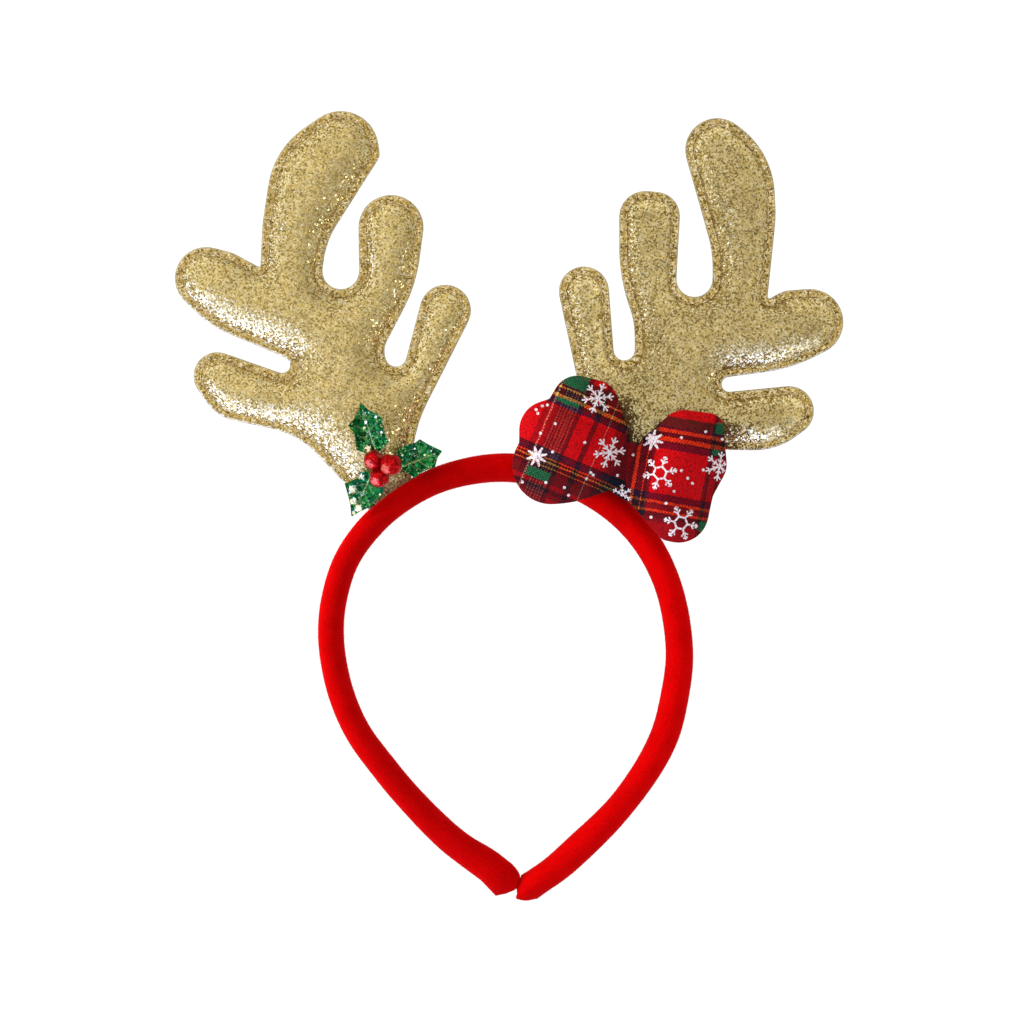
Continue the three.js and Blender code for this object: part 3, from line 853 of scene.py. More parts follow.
# Each pad: height of its seam, thickness of the filling in front and behind, how far in it swells up, and the
# pitch of points inside and along the edge. Rings are how far each row of points lies inside the cut edge and
# how high it stands over the seam, and held is how many of these rows the seam holds.
ANTLER_PAD = {
    "seam": 6.2, "front": 7.4, "back": 7.0, "softness": 7.0, "grid": 1.5, "step": 1.3,
    "rings": [(0.0, 0.3), (0.35, 0.6), (1.5, 0.64), (2.2, 0.58), (2.6, 0.48), (3.0, 0.7)], "held": 5,
}
BOW_PAD = {
    "seam": 18.6, "front": 10.2, "back": 7.6, "softness": 6.5, "grid": 1.2, "step": 1.0,
    "rings": [(0.0, 0.2), (0.4, 0.75), (0.8, 1.1)], "held": 3,
}
# Points nearer to each other than this are one
JOINED = 1e-4
# Depths from the edge are told up to this one
FAR_INSIDE = 12.0
# The antlers' filling starts this far from the hoop's middle line, and is full after the taper
BASE_ROOM = 4.9
BASE_TAPER = 11.0
# How far the painted shade and red reflection of the hoop reach into the glitter
HOOP_SHADE_REACH = 5.0
# The cloth is simulated this many times larger, and for this many frames
CLOTH_SCALE = 10.0
CLOTH_FRAMES = 20
CLOTH_SETTINGS = {
    "quality": 5,
    "mass": 0.15,
    "tension_stiffness": 12.0,
    "compression_stiffness": 12.0,
    "shear_stiffness": 6.0,
    "bending_stiffness": 1.5,
    "tension_damping": 8.0,
    "compression_damping": 8.0,
    "shear_damping": 8.0,
    "air_damping": 4.0,
    "use_pressure": True,
}
LEAST_MOVE = 1e-9
# The stitches' pitch, length, radius, height in the middle as a share of the radius, and sides
STITCH_PITCH = 3.0
STITCH_LENGTH = 2.2
STITCH_THICK = 0.26
STITCH_ARCH = 0.7
STITCH_SIDES = 8
# Places along a stitch from -1 to 1, and how thick it is there
STITCH_FORM = [(-1.0, 0.3), (-0.82, 0.75), (-0.4, 1.0), (0.4, 1.0), (0.82, 0.75), (1.0, 0.3)]
# Step of the line that the stitches follow, and how far before and behind a stitch its direction is taken
SEAM_STEP = 0.25
SEAM_LOOK = 0.5
# Stitches nearer to the hoop's middle line than this are hidden and left out
HIDDEN_STITCH = 6.5


def antler_fullness(flat):
    """The filling thins out towards the hoop."""
    return smoothstep((away_from(HOOP_TREE, flat) - BASE_ROOM) / BASE_TAPER)


def near_hoop(piece):
    """Marks the painted shade and red reflection of the hoop in the glitter next to it."""
    places = np.array([tuple(point.co) for point in piece.data.vertices]) / MM - SHIFT
    share = 1 - smoothstep((away_from(HOOP_TREE, places[:, :2]) - BASE_ROOM) / HOOP_SHADE_REACH)
    carry(piece, "near_hoop", share)


def pad(name, pegs, size, fullness, material):
    """Two layers that are sewn together inside their edge and filled. Gives the piece and its held points."""
    rim, out = belt_outline(pegs, size["step"])
    rings = [rim - out * depth for depth, _ in size["rings"]]
    count = len(rim)
    flat = np.vstack([*rings, lattice_inside(rings[-1], size["grid"])])
    starts = [k * count for k in range(len(rings))]
    loops = [(start + i, start + (i + 1) % count) for start in starts for i in range(count)]
    corners, _, faces, origin, _, _ = delaunay_2d_cdt([Vector(p) for p in flat], loops, [], 1, JOINED)
    flat = np.array([tuple(p) for p in corners])
    faces = np.array(faces)
    first = np.array([min(given) if given else len(loops) for given in origin])
    ring = np.minimum(first // count, len(rings))
    held = ring < size["held"]
    height = filled_height(flat, faces, held, size["softness"]) * fullness(flat)
    lift = np.array([rise for _, rise in size["rings"]] + [size["rings"][-1][1]])[ring]
    front = np.column_stack([flat, size["seam"] + lift + size["front"] * height])
    back = np.column_stack([flat, np.maximum(0.0, size["seam"] - lift - size["back"] * height)])
    layer = len(flat)
    place = {}
    for i, given in enumerate(origin):
        for k in given:
            place[k] = i
    edge = [place[i] for i in range(count)]
    edge = [a for a, b in zip(edge, edge[1:] + edge[:1]) if a != b]
    walls = [(a, b, layer + b, layer + a) for a, b in zip(edge, edge[1:] + edge[:1])]
    skin = [tuple(face) for face in faces.tolist()]
    skin += [(layer + a, layer + c, layer + b) for a, b, c in faces.tolist()]
    made = make_piece(name, np.vstack([front, back]), skin + walls, material)
    inset = np.array([depth for depth, _ in size["rings"]] + [FAR_INSIDE])[ring]
    deep = np.minimum(FAR_INSIDE, away_from(flat_tree(rim), flat))
    carry(made, "edge_depth", np.tile(np.where(ring < len(rings), inset, deep), 2))
    return made, np.tile(held, 2)


def puff(piece, held, cap, pressure, slack):
    """Blows a sewn pad up as cloth that is held at its seam, and keeps the form it takes."""
    mesh = piece.data
    start = np.empty(len(mesh.vertices) * 3)
    mesh.vertices.foreach_get("co", start)
    mesh.vertices.foreach_set("co", start * CLOTH_SCALE)
    mesh.update()
    seam = piece.vertex_groups.new(name="seam")
    seam.add(np.flatnonzero(held).tolist(), 1.0, "REPLACE")
    cloth = piece.modifiers.new("filling", "CLOTH")
    settings = cloth.settings
    for key, value in CLOTH_SETTINGS.items():
        setattr(settings, key, value)
    settings.shrink_min = -slack
    settings.shrink_max = -slack
    settings.uniform_pressure_force = pressure
    settings.vertex_group_mass = "seam"
    settings.effector_weights.gravity = 0.0
    cloth.collision_settings.use_collision = False
    cloth.collision_settings.use_self_collision = False
    cloth.point_cache.frame_start = 1
    cloth.point_cache.frame_end = CLOTH_FRAMES
    scene = bpy.context.scene
    for moment in range(1, CLOTH_FRAMES + 1):
        scene.frame_set(moment)
    shown = piece.evaluated_get(bpy.context.evaluated_depsgraph_get())
    blown = np.empty(len(start))
    shown.data.vertices.foreach_get("co", blown)
    piece.modifiers.remove(cloth)
    scene.frame_set(1)
    move = (blown / CLOTH_SCALE - start).reshape(-1, 3)
    reach = np.linalg.norm(move, axis=1)
    move *= np.minimum(1.0, cap * MM / np.maximum(reach, LEAST_MOVE))[:, None]
    placed = start.reshape(-1, 3) + move
    placed[:, 2] = np.maximum(placed[:, 2], 0.0)
    mesh.vertices.foreach_set("co", placed.ravel())
    mesh.update()


def smoothed(piece):
    """One level of subdivision, left on the piece."""
    rounder = piece.modifiers.new("rounder", "SUBSURF")
    rounder.levels = 1
    rounder.render_levels = 1


def stitches(name, pegs, size, material):
    """A row of topstitches on both faces of a pad, along its seam."""
    rim, out = belt_outline(pegs, SEAM_STEP)
    depth, rise = size["rings"][size["held"] - 1]
    line = rim - out * depth
    run = distances(line)
    turns = FULL_TURN * np.arange(STITCH_SIDES) / STITCH_SIDES
    points, faces = [], []

    def at(distance):
        return np.array([np.interp(distance, run, line[:, k]) for k in range(2)])

    for middle in np.arange(STITCH_PITCH / 2, run[-1] - STITCH_PITCH / 2, STITCH_PITCH):
        centre = at(middle)
        if HOOP_TREE.find((*centre, 0))[2] < HIDDEN_STITCH:
            continue
        ahead = at(middle + SEAM_LOOK) - at(middle - SEAM_LOOK)
        ahead /= np.linalg.norm(ahead)
        aside = np.array([-ahead[1], ahead[0]])
        for face in (1, -1):
            faces += tube_faces(len(STITCH_FORM), STITCH_SIDES, len(points))
            for share, thick in STITCH_FORM:
                level = size["seam"] + face * (rise + STITCH_THICK * STITCH_ARCH * (1 - share**2))
                spot = centre + ahead * share * STITCH_LENGTH / 2
                for turn in turns:
                    wide = aside * math.cos(turn) * thick * STITCH_THICK
                    points.append((*(spot + wide), level + math.sin(turn) * thick * STITCH_THICK))
    made = make_piece(name, points, faces, material)


# The hoop

TUBE_SIDES = 40
# Each tip: how far it reaches past the end of the middle line, from its inner side, -1, to its outer side, 1,
# how much wider its end gets on the outer side, and how wide its inner side is, from the end on
LEFT_TIP = {
    "reach": [
        (-1.0, -2.9), (-0.93, -0.4), (-0.83, 1.3), (-0.6, 3.0), (-0.26, 3.85), (0.05, 3.7), (0.58, 2.0),
        (1.0, -0.4),
    ],
    "flare": 0.2,
    "inner": [(0.0, 1.27), (11.0, 1.26), (14.0, 1.14), (18.0, 1.0), (25.0, 0.95), (40.0, 1.0)],
}
RIGHT_TIP = {
    "reach": [
        (-1.0, -1.9), (-0.68, -0.1), (-0.31, 2.2), (0.05, 3.0), (0.18, 4.3), (0.34, 4.0), (0.63, 2.4),
        (0.8, 0.9), (1.0, -2.1),
    ],
    "flare": 0.03,
    "inner": [(0.0, 0.87), (10.0, 0.87), (16.0, 0.9), (25.0, 1.0)],
}
# How far before the end of the line a tip starts, and how far round its end each of its rings lies
TIP_LENGTH = 8
TIP_BENDS = [math.radians(bend) for bend in (12, 25, 38, 50, 62, 73, 82)]
# How far the velvet's outer and inner sides stand from the middle line, against half the tube's width,
# by how far along the hoop, and how far that is evened out
OUTER_SIDE = [
    (0, 1.0), (12, 1.12), (26, 1.12), (43, 0.91), (61, 0.88), (76, 0.93), (138, 0.94), (150, 1.0),
    (204, 1.0), (280, 0.96), (302, 1.03), (361, 1.0), (390, 1.14), (402, 1.06),
]
INNER_SIDE = [
    (0, 0.97), (26, 1.0), (43, 1.04), (61, 1.05), (76, 0.94), (110, 0.92), (140, 0.88), (160, 0.82),
    (181, 0.88), (204, 1.06), (242, 1.12), (262, 1.05), (280, 0.97), (302, 0.93), (318, 1.0),
    (335, 1.05), (361, 0.92), (384, 1.02), (402, 1.06),
]
SWELL_BLUR = 4
# How bright the velvet is, painted light and shade on the left of its left and right arms, and painted light
# atop the right arm
VELVET_TONE = 0.66
PAINTED_LIGHT_LEFT_ARM = 0.08
PAINTED_SHADE_RIGHT_ARM = -0.12
PAINTED_LIGHT_RIGHT_TOP = 0.24
ARM_BLEND = 40.0
# The fibres: radius and corners of the root, shortest and longest, and the lowest root
PILE_COUNT = 26000
PILE_SEED = 4
PILE_ROOT = 0.06
PILE_CORNERS = (0.0, 2.1, 4.2)
PILE_LENGTH = (0.18, 0.4)
PILE_LEAN = 0.5
PILE_FLOOR = 0.5


def hoop_rings():
    """Rings of points along the velvet tube, with its two closed tips."""
    path = HOOP_PATH
    along = np.gradient(path, axis=0)
    along /= np.linalg.norm(along, axis=1)[:, None]
    across = np.stack([along[:, 1], -along[:, 0]], axis=1)
    angle = FULL_TURN * np.arange(TUBE_SIDES) / TUBE_SIDES
    inner = np.cos(angle)

    stations = np.arange(-SWELL_BLUR, len(path) + SWELL_BLUR)
    inner_side = np.interp(stations, *zip(*LEFT_TIP["inner"])) * np.interp(stations, *zip(*INNER_SIDE))
    inner_side *= np.interp(len(path) - 1 - stations, *zip(*RIGHT_TIP["inner"]))
    outer_side = np.interp(stations, *zip(*OUTER_SIDE))
    even = np.full(2 * SWELL_BLUR + 1, 1 / (2 * SWELL_BLUR + 1))
    inner_side, outer_side = (np.convolve(side, even, "valid") for side in (inner_side, outer_side))

    def ring(station, ahead=0.0, flare=0.0, deep=1.0):
        outside = outer_side[station] - flare * np.minimum(inner, 0.0)
        wide = np.where(inner > 0, inner_side[station], outside)
        flat = path[station] + across[station] * (TUBE_WIDTH / 2 * inner * wide)[:, None]
        flat = flat + along[station] * np.broadcast_to(ahead, TUBE_SIDES)[:, None]
        rise = np.maximum(0.0, TUBE_HEIGHT + TUBE_DEPTH / 2 * np.sin(angle) * deep)
        return np.column_stack([flat, rise])

    def tip(station, shape, way):
        reach = way * (TIP_LENGTH + np.interp(-inner, *zip(*shape["reach"])))
        bends = [(math.sin(bend), math.cos(bend)) for bend in TIP_BENDS]
        return [ring(station, reach * out, shape["flare"] * out, deep) for out, deep in bends]

    first, last = TIP_LENGTH, len(path) - 1 - TIP_LENGTH
    body = [ring(station) for station in range(first, last + 1)]
    return np.array(tip(first, LEFT_TIP, -1)[::-1] + body + tip(last, RIGHT_TIP, 1))


def hoop_tube(rings):
    """The velvet tube, with painted light and shade by which way each point faces."""
    points = rings.reshape(-1, 3)
    out = (rings - rings.mean(axis=1, keepdims=True)).reshape(-1, 3)
    out /= np.linalg.norm(out, axis=1)[:, None]
    # Painted light and shade: lighter on the left of the left arm and on top of the right arm, darker on the
    # left of the right arm
    on_right = smoothstep(points[:, 0] / ARM_BLEND + 0.5)
    to_left = PAINTED_LIGHT_LEFT_ARM * (1 - on_right) + PAINTED_SHADE_RIGHT_ARM * on_right
    brushed = VELVET_TONE + to_left * np.maximum(0.0, -out[:, 0])
    brushed += PAINTED_LIGHT_RIGHT_TOP * np.maximum(0.0, out[:, 2]) * on_right
    made = make_piece("hoop_tube", points, tube_faces(len(rings), TUBE_SIDES), red_velvet())
    carry(made, "brushed", brushed)
    made.visible_glossy = False
    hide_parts("headband")
    return made


def hoop_pile(rings):
    """Short velvet fibres, each a thin spike with three sides."""
    chance = np.random.default_rng(PILE_SEED)
    rows = chance.integers(0, len(rings), PILE_COUNT)
    sides = chance.integers(0, TUBE_SIDES, PILE_COUNT)
    slide = chance.random((PILE_COUNT, 2))[:, :, None]
    here = rings[rows, sides]
    ahead = rings[np.minimum(rows + 1, len(rings) - 1), sides]
    aside = rings[rows, (sides + 1) % TUBE_SIDES]
    root = here + (ahead - here) * slide[:, 0] + (aside - here) * slide[:, 1]
    out = here + aside - 2 * rings[rows].mean(axis=1)
    out /= np.linalg.norm(out, axis=1)[:, None]
    length = chance.uniform(*PILE_LENGTH, PILE_COUNT)[:, None]
    lean = chance.normal(0.0, PILE_LEAN, (PILE_COUNT, 3))
    turned = chance.normal(0.0, 1.0, (PILE_COUNT, 3))
    first = np.cross(out, turned)
    first /= np.linalg.norm(first, axis=1)[:, None]
    second = np.cross(out, first)
    way = out + lean
    way /= np.linalg.norm(way, axis=1)[:, None]
    corners = [first * math.cos(turn) + second * math.sin(turn) for turn in PILE_CORNERS]
    spikes = [root + PILE_ROOT * corner for corner in corners]
    spikes.append(root + way * length)
    spikes = np.stack(spikes, axis=1)[(root[:, 2] > PILE_FLOOR) & (spikes[3][:, 2] > 0)]
    faces = []
    for start in range(0, 4 * len(spikes), 4):
        faces += [(start, start + 2, start + 1), (start, start + 1, start + 3)]
        faces += [(start + 1, start + 2, start + 3), (start + 2, start, start + 3)]
    made = make_piece("hoop_pile", spikes.reshape(-1, 3), faces, velvet_pile())
    made.visible_glossy = False


RINGS = hoop_rings()
hoop = hoop_tube(RINGS)
hoop_pile(RINGS)


# The antlers

# How far the cloth may move, the pressure in it and its slack
ANTLER_CAP = 0.8
ANTLER_PRESSURE = 0.6
ANTLER_SLACK = 0.0
# How far each sheet leans sideways, and its painted light and shade as brightness on its flange, slope and
# middle
SHEETS = {
    "left": (LEFT_ANTLER, (-0.07, 0.03), (0.88, 1.02, 0.91)),
    "right": (RIGHT_ANTLER, (-0.34, 0.12), (0.78, 1.08, 0.7)),
}
thread = stitch_thread()
antlers = []
for side, (pegs, lean, painted_tones) in SHEETS.items():
    node = f"antler_{side}"
    antler, held = pad(f"{node}_pad", pegs, ANTLER_PAD, antler_fullness, gold_glitter(side, lean, painted_tones))
    near_hoop(antler)
    puff(antler, held, ANTLER_CAP, ANTLER_PRESSURE, ANTLER_SLACK)
    smoothed(antler)
    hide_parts(node)
    stitches(f"{node}_stitches", pegs, ANTLER_PAD, thread)
    antlers.append(antler)


# The bow

# Creases run from a notch towards the waist: start and end, the share of the filling that they take at the
# start, and how much of that is gone at the end
BOW_CREASES = [((13.8, 37.8), (38.0, 22.0)), ((2.8, 22.2), (36.0, 8.0)), ((72.0, 1.0), (48.0, 5.0))]
CREASE_DEPTH = 0.3
CREASE_FADE = 0.6
CREASE_WIDTH = 2.6
BOW_WAIST = ((45.2, 22.5), (40.0, 1.0))
WAIST_PINCH = 0.8
WAIST_WIDTH = 7.5
BOW_CAP = 1.6
BOW_PRESSURE = 0.6
BOW_SLACK = 0.025
SEAT_GAP = 0.3


def bow_fullness(flat):
    """The filling is pinched at the waist and thin along the creases."""
    full = np.ones(len(flat))
    for start, end in BOW_CREASES:
        away, share = from_line(flat, start, end)
        full *= 1 - CREASE_DEPTH * (1 - CREASE_FADE * share) * np.exp(-(away / CREASE_WIDTH) ** 2)
    away, _ = from_line(flat, *BOW_WAIST)
    return full * (1 - WAIST_PINCH * np.exp(-(away / WAIST_WIDTH) ** 2))


def seat(piece, carriers, seam):
    """Keeps the back of a pad above the pieces that carry it."""
    surfaces = [surface_of(carrier) for carrier in carriers]
    for point in piece.data.vertices:
        if point.co.z > seam * MM:
            continue
        for surface in surfaces:
            spot, _ = below(surface, point.co.x, point.co.y)
            if spot is not None:
                point.co.z = min(seam * MM, max(point.co.z, spot.z + SEAT_GAP * MM))
    piece.data.update()


bow, bow_held = pad("bow_pad", BOW, BOW_PAD, bow_fullness, tartan())
puff(bow, bow_held, BOW_CAP, BOW_PRESSURE, BOW_SLACK)
seat(bow, [*antlers, hoop], BOW_PAD["seam"])
smoothed(bow)
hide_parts("bow")


# The snow that is printed on the bow

# Bars of one arm of each flake, in shares of its radius: start, end and both widths
SNOWFLAKE_ARMS = {
    "star": (8, [((0.0, 0.0), (1.0, 0.0), 0.42, 0.16)]),
    "branched": (6, [
        ((0.0, 0.0), (1.0, 0.0), 0.14, 0.1),
        ((0.28, 0.0), (0.46, 0.18), 0.1, 0.08), ((0.28, 0.0), (0.46, -0.18), 0.1, 0.08),
        ((0.64, 0.0), (0.86, 0.22), 0.1, 0.09), ((0.64, 0.0), (0.86, -0.22), 0.1, 0.09),
    ]),
    "ringed": (6, [
        ((0.38, 0.0), (1.0, 0.0), 0.1, 0.11), ((0.38, 0.0), (0.19, 0.33), 0.11, 0.11),
        ((0.6, 0.0), (0.76, 0.2), 0.09, 0.09), ((0.6, 0.0), (0.76, -0.2), 0.09, 0.09),
        ((0.9, -0.13), (0.9, 0.13), 0.11, 0.11),
    ]),
}
# Each flake: side of the bow, place along its cloth and down it, radius, turn and kind
SNOWFLAKES = [
    ("left", 3.2, -17.0, 5.6, 30, "branched"),
    ("left", 14.3, -1.2, 5.7, 30, "branched"),
    ("left", -8.4, 9.9, 3.6, 10, "star"),
    ("right", -11.6, -9.5, 3.7, 5, "star"),
    ("right", -7.2, 1.4, 6.0, 40, "ringed"),
    ("right", 3.0, 17.2, 6.0, 2, "ringed"),
    ("right", 12.8, -4.5, 5.2, 30, "branched"),
    ("right", -18.8, 11.0, 3.6, 20, "branched"),
]
# Each snow dot: side of the bow, place along its cloth and down it
SNOW_DOTS = [
    ("left", -13.5, -7.0), ("left", -12.0, -8.0), ("left", -15.0, -5.0), ("left", -14.0, -4.0),
    ("left", -7.0, -3.0), ("left", -10.4, 2.0), ("left", 5.0, -1.0), ("left", 20.0, 5.0),
    ("left", -4.0, 6.3), ("left", 11.0, 7.8), ("left", 12.1, 8.2), ("left", 10.5, 10.3),
    ("left", -2.0, 17.0), ("left", 4.6, 16.1), ("left", 7.0, 18.0), ("left", -9.6, 20.0),
    ("right", 6.0, -15.5), ("right", 12.2, -14.0), ("right", -2.0, -12.0), ("right", -17.4, -3.3),
    ("right", 0.0, -0.7), ("right", 2.6, 1.5), ("right", 4.5, 3.0), ("right", 7.4, -2.3),
    ("right", -1.3, 6.8), ("right", -3.3, 11.4), ("right", -7.5, 17.0),
]
DOT_RADIUS = 0.54
DOT_SIDES = 12
PRINT_STEP = 0.7
PRINT_LIFT = 0.07
# No print lies where the surface is steeper than this height of its normal
PRINT_SLOPE = 0.25


def on_cloth(side, along, down):
    """X and Y of a place on one side's cloth."""
    (mx, my), slant = CLOTH[side]["middle"], CLOTH[side]["slant"]
    x = mx + along * math.cos(slant) + down * math.sin(slant)
    y = my + along * math.sin(slant) - down * math.cos(slant)
    return x, y


def snow_bars():
    """The flakes' bars on the cloth as strips of points, left and right edge in turn."""
    for side, along, down, radius, turn, kind in SNOWFLAKES:
        arms, bars = SNOWFLAKE_ARMS[kind]
        for arm in range(arms):
            turned = math.radians(turn) + FULL_TURN * arm / arms
            spin = np.array([[math.cos(turned), -math.sin(turned)], [math.sin(turned), math.cos(turned)]])
            for start, end, wide_start, wide_end in bars:
                start, end = np.array(start), np.array(end)
                way = (end - start) / np.linalg.norm(end - start)
                aside = np.array([-way[1], way[0]])
                steps = max(2, math.ceil(np.linalg.norm(end - start) * radius / PRINT_STEP))
                strip = []
                for share in np.linspace(0, 1, steps + 1):
                    middle = start + (end - start) * share
                    half = (wide_start + (wide_end - wide_start) * share) / 2
                    for edge in (middle + aside * half, middle - aside * half):
                        u, v = spin @ edge * radius
                        strip.append(on_cloth(side, along + u, down + v))
                yield strip


def snow_on(piece):
    """Prints the flakes and the dots as thin sheets that follow a piece's surface."""
    surface = surface_of(piece)
    points, faces = [], []

    def pressed(x, y):
        spot, normal = below(surface, (x + SHIFT_X) * MM, (y + SHIFT_Y) * MM)
        if spot is None or normal.z < PRINT_SLOPE:
            return None
        points.append(tuple((spot + normal * PRINT_LIFT * MM) / MM - Vector(SHIFT)))
        return len(points) - 1

    for strip in snow_bars():
        row = [pressed(x, y) for x, y in strip]
        for k in range(0, len(row) - 2, 2):
            face = (row[k], row[k + 1], row[k + 3], row[k + 2])
            if None not in face:
                faces.append(face)
    for side, along, down in SNOW_DOTS:
        rim = []
        for turn in FULL_TURN * np.arange(DOT_SIDES) / DOT_SIDES:
            u, v = DOT_RADIUS * math.cos(turn), DOT_RADIUS * math.sin(turn)
            rim.append(pressed(*on_cloth(side, along + u, down - v)))
        if None not in rim:
            faces.append(tuple(rim))
    made = make_piece("bow_snow", points, faces, snow_print())


snow_on(bow)


# The holly

LEAF_ROWS = 80
LEAF_COLUMNS = 40
# How far a leaf is crumpled at most, and the size of a crumple
LEAF_CRUMPLE = 0.22
LEAF_CRUMPLE_SIZE = 1.7
VEIN_WIDTH = 0.2
VEIN_RISE = 0.2
# Where a leaf's pale cut edge starts, as a share of its reach, and how pale it is
RIM_START = 0.96
RIM_PALE = 0.5
# The midrib and its veins, in shares of the leaf's length: both ends as station and reach, and strength
LEAF_VEINS = [
    ((0.0, 0.08), (0.44, 0.04), 1.0), ((0.44, 0.04), (0.85, 0.0), 0.5),
    ((0.2, 0.04), (0.36, 0.22), 0.3), ((0.2, 0.04), (0.36, -0.16), 0.3),
    ((0.42, 0.03), (0.6, 0.26), 0.4), ((0.42, 0.03), (0.6, -0.22), 0.3),
    ((0.62, 0.02), (0.74, 0.13), 0.3), ((0.62, 0.02), (0.74, -0.11), 0.3),
]


def sheet_faces(wide, long):
    """Faces of a closed sheet with a front layer, a back layer and the edge between them."""
    layer = wide * long
    faces = []
    for k in range(long - 1):
        for a in range(wide - 1):
            i = k * wide + a
            faces.append((i + 1, i + wide + 1, i + wide, i))
            faces.append((layer + i, layer + i + wide, layer + i + wide + 1, layer + i + 1))
    border = list(range(wide))
    border += [k * wide + wide - 1 for k in range(1, long)]
    border += [(long - 1) * wide + a for a in reversed(range(wide - 1))]
    border += [k * wide for k in reversed(range(1, long - 1))]
    return faces + [(a, b, layer + b, layer + a) for a, b in zip(border, border[1:] + border[:1])]


def leaf(name, row, material):
    """A crumpled and folded foil leaf, with raised veins and marks for its painted highlight patches."""
    base, tip = np.array(row["base"]), np.array(row["tip"])
    length = np.linalg.norm(tip - base)
    forward = (tip - base) / length
    sideways = np.array([forward[1], -forward[0]])
    stations = np.linspace(0, 1, LEAF_ROWS + 1)
    spread = np.linspace(-1, 1, LEAF_COLUMNS + 1)
    left, right = (np.interp(stations, *zip(*row[side])) for side in ("left", "right"))
    reach = np.where(spread < 0, left[:, None] * spread, right[:, None] * spread)
    flat = np.column_stack([np.repeat(stations, len(spread)), reach.ravel()])
    vein = np.zeros(len(flat))
    for start, end, strength in LEAF_VEINS:
        away = from_line(flat, start, end)[0] * length
        vein = np.maximum(vein, strength * np.exp(-(away / VEIN_WIDTH) ** 2))
    rim = np.tile(np.abs(spread) > RIM_START, len(stations))
    vein = np.maximum(vein, RIM_PALE * rim)
    bright = np.zeros(len(flat))
    for station, side, size in row["bright"]:
        away = np.linalg.norm(flat - np.array([station, side]), axis=1)
        bright = np.maximum(bright, 1 - away / size / 2)
    xy = base + (flat[:, :1] * forward + flat[:, 1:] * sideways) * length
    crumple = [noise.noise(Vector((x, y, 0)) / LEAF_CRUMPLE_SIZE) * LEAF_CRUMPLE for x, y in xy]
    z = row["z"][0] + (row["z"][1] - row["z"][0]) * flat[:, 0]
    z += LEAF_FOLD * np.abs(flat[:, 1]) * length + crumple
    front = np.column_stack([xy, z + LEAF_THICKNESS + VEIN_RISE * vein])
    back = np.column_stack([xy, z])
    faces = sheet_faces(len(spread), len(stations))
    made = make_piece(f"{name}_foil", np.vstack([front, back]), faces, material)
    carry(made, "vein", np.tile(vein, 2))
    carry(made, "shine", np.tile(bright, 2))
    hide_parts(name)


foil = leaf_foil()
for name, row in LEAVES.items():
    leaf(name, row, foil)

# The glued berries touch, so each is a little larger than its solid
BERRY_FULL = 0.7
# How far its skin is uneven at most, and the size of a lump
BERRY_LUMP = 0.5
BERRY_LUMP_SIZE = 2.2
BERRY_RINGS = 36
BERRY_SIDES = 54
# Which way the painted highlight on each berry's foil faces, and how far it reaches
BERRY_HIGHLIGHT_FACING = np.array([-0.5, -0.4, 0.75])
HIGHLIGHT_START = 0.8


def berry(name, row, material):
    """A foil ball with a slightly lumpy skin."""
    *middle, radius = row
    ways = [(0.0, 0.0, 1.0)]
    for k in range(1, BERRY_RINGS):
        wide, high = math.sin(math.pi * k / BERRY_RINGS), math.cos(math.pi * k / BERRY_RINGS)
        for turn in FULL_TURN * np.arange(BERRY_SIDES) / BERRY_SIDES:
            ways.append((wide * math.cos(turn), wide * math.sin(turn), high))
    ways = np.array([*ways, (0.0, 0.0, -1.0)])
    skin = middle + ways * radius
    lumps = [noise.noise(Vector(spot) / BERRY_LUMP_SIZE) * BERRY_LUMP for spot in skin]
    points = middle + ways * (radius + BERRY_FULL + np.array(lumps))[:, None]
    faces = []
    bottom = len(ways) - 1
    lowest = bottom - BERRY_SIDES
    for a in range(BERRY_SIDES):
        b = (a + 1) % BERRY_SIDES
        faces.append((0, 1 + a, 1 + b))
        faces.append((bottom, lowest + b, lowest + a))
        for here in range(1, lowest, BERRY_SIDES):
            there = here + BERRY_SIDES
            faces.append((here + a, there + a, there + b, here + b))
    made = make_piece(f"{name}_ball", points, faces, material)
    # The painted highlight lies on the side of each berry that faces the lower left and up
    facing = ways @ (BERRY_HIGHLIGHT_FACING / np.linalg.norm(BERRY_HIGHLIGHT_FACING))
    shine = smoothstep((facing - HIGHLIGHT_START) / (1 - HIGHLIGHT_START))
    carry(made, "shine", shine)
    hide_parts(name)


red_foil = berry_foil()
for name, row in BERRIES.items():
    berry(name, row, red_foil)


# Floor, light and camera

# The picture: size of a pixel, pixels on a side, its middle, and the height at which a pixel has that size
PIXEL = 0.35
PHOTO_SIDE = 1024
PHOTO_MIDDLE = (1.225, -2.275)
SEAM_HEIGHT = 6.0
LENS = 300.0
SENSOR = 36.0
WHITE = (1.0, 1.0, 1.0)
COOL = (0.7, 0.98, 2.5)
PALE = (0.85, 0.97, 1.6)
WORLD_LIGHT = 0.73
# The floor's corners in metres, its grey and how much it shines by itself
FLOOR = [(-3.0, -3.0, 0.0), (3.0, -3.0, 0.0), (3.0, 3.0, 0.0), (-3.0, 3.0, 0.0)]
FLOOR_GREY = (0.2, 0.2, 0.2)
FLOOR_GLOW = 0.95
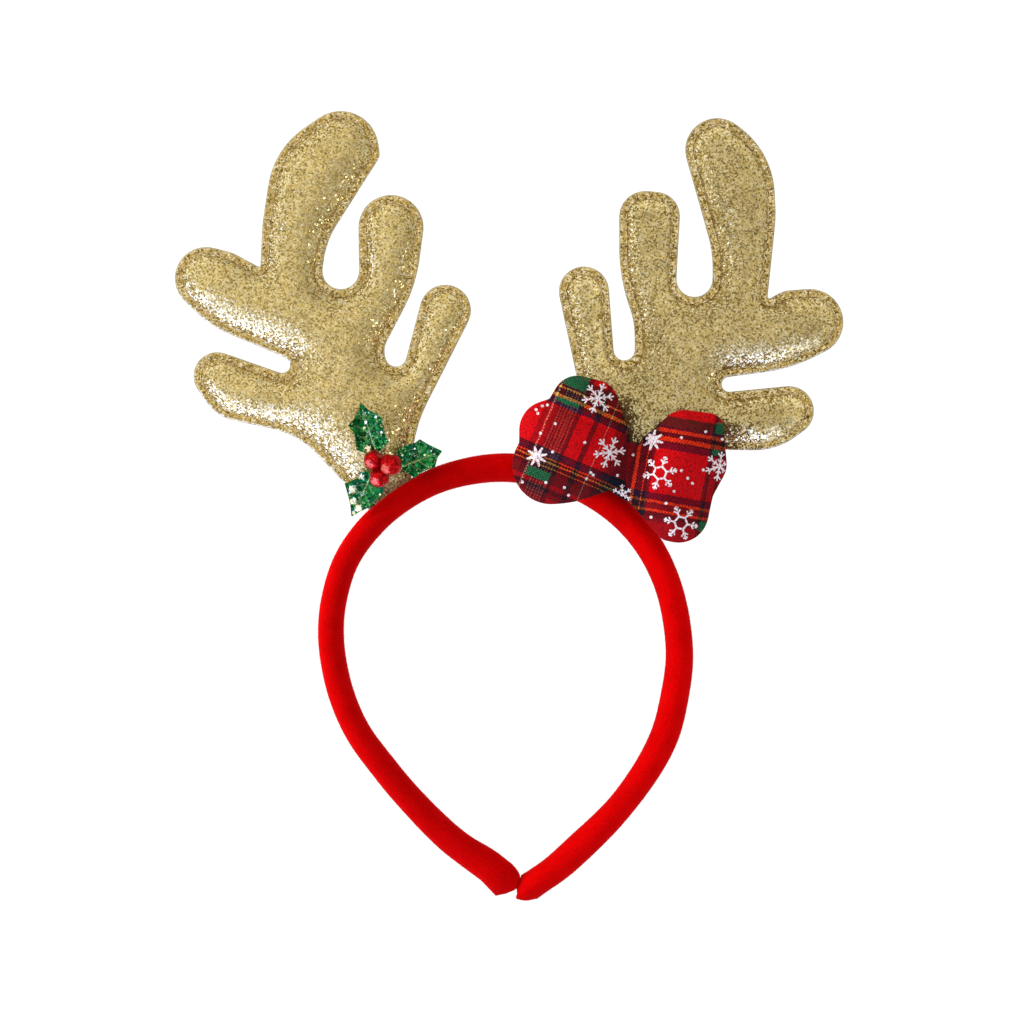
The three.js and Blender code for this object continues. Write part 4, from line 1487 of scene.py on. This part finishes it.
# Each light: name, place and size in metres, radiance, tint, and the faces that it lights
LIGHTS = [
    ("sky_panel", (-0.7, 1.3, 2.2), (4.5, 4.5), 0.55, WHITE, "glossy"),
    ("window", (-1.8, 0.3, 0.55), (1.4, 0.8), 8.6, WHITE, "matt"),
    ("glint", (-0.62, -1.0, 0.84), (1.8, 1.1), 2.1, COOL, "glossy"),
    ("spark", (-0.7, -1.15, 0.52), (0.3, 0.2), 9.0, PALE, "glossy"),
    ("left_spark", (-1.25, 0.05, 0.5), (0.16, 0.14), 6.5, PALE, "glossy"),
    ("side_spark", (1.25, -0.6, 0.6), (0.16, 0.12), 20.0, WHITE, "glossy"),
]


def floor():
    """A white floor that still takes a soft shadow."""
    mesh = bpy.data.meshes.new("floor")
    mesh.from_pydata(FLOOR, [], [(0, 1, 2, 3)])
    mesh.materials.append(Finish("pale_floor").surface(
        Base_Color=(*FLOOR_GREY, 1.0),
        Roughness=1.0,
        Specular_IOR_Level=0.0,
        Emission_Color=(*WHITE, 1.0),
        Emission_Strength=FLOOR_GLOW,
    ))
    made = bpy.data.objects.new("floor", mesh)
    bpy.context.collection.objects.link(made)


def soft_light(name, place, size, radiance, tint, lit):
    """An even area light that faces the headband and lights its matt faces or its glossy ones."""
    data = bpy.data.lights.new(name, "AREA")
    data.shape = "RECTANGLE"
    data.size, data.size_y = size
    data.color = tint
    data.energy = radiance * math.pi * size[0] * size[1]
    made = bpy.data.objects.new(name, data)
    made.location = place
    made.rotation_euler = (-Vector(place)).to_track_quat("-Z", "Y").to_euler()
    made.visible_camera = False
    made.visible_diffuse = lit == "matt"
    made.visible_glossy = lit == "glossy"
    bpy.context.collection.objects.link(made)


def studio():
    """The white surroundings, the lights and the camera of the photo's view."""
    scene = bpy.context.scene
    world = bpy.data.worlds.new("studio")
    world.use_nodes = True
    background = world.node_tree.nodes["Background"].inputs
    background["Color"].default_value = (*WHITE, 1.0)
    background["Strength"].default_value = WORLD_LIGHT
    scene.world = world
    scene.view_settings.view_transform = "Standard"
    for light in LIGHTS:
        soft_light(*light)
    data = bpy.data.cameras.new("photo_view")
    data.lens = LENS
    data.sensor_width = SENSOR
    camera = bpy.data.objects.new("photo_view", data)
    distance = PIXEL * PHOTO_SIDE * LENS / SENSOR
    camera.location = (
        (PHOTO_MIDDLE[0] + SHIFT_X) * MM,
        (PHOTO_MIDDLE[1] + SHIFT_Y) * MM,
        (SEAM_HEIGHT + distance) * MM,
    )
    bpy.context.collection.objects.link(camera)
    scene.camera = camera


floor()
studio()
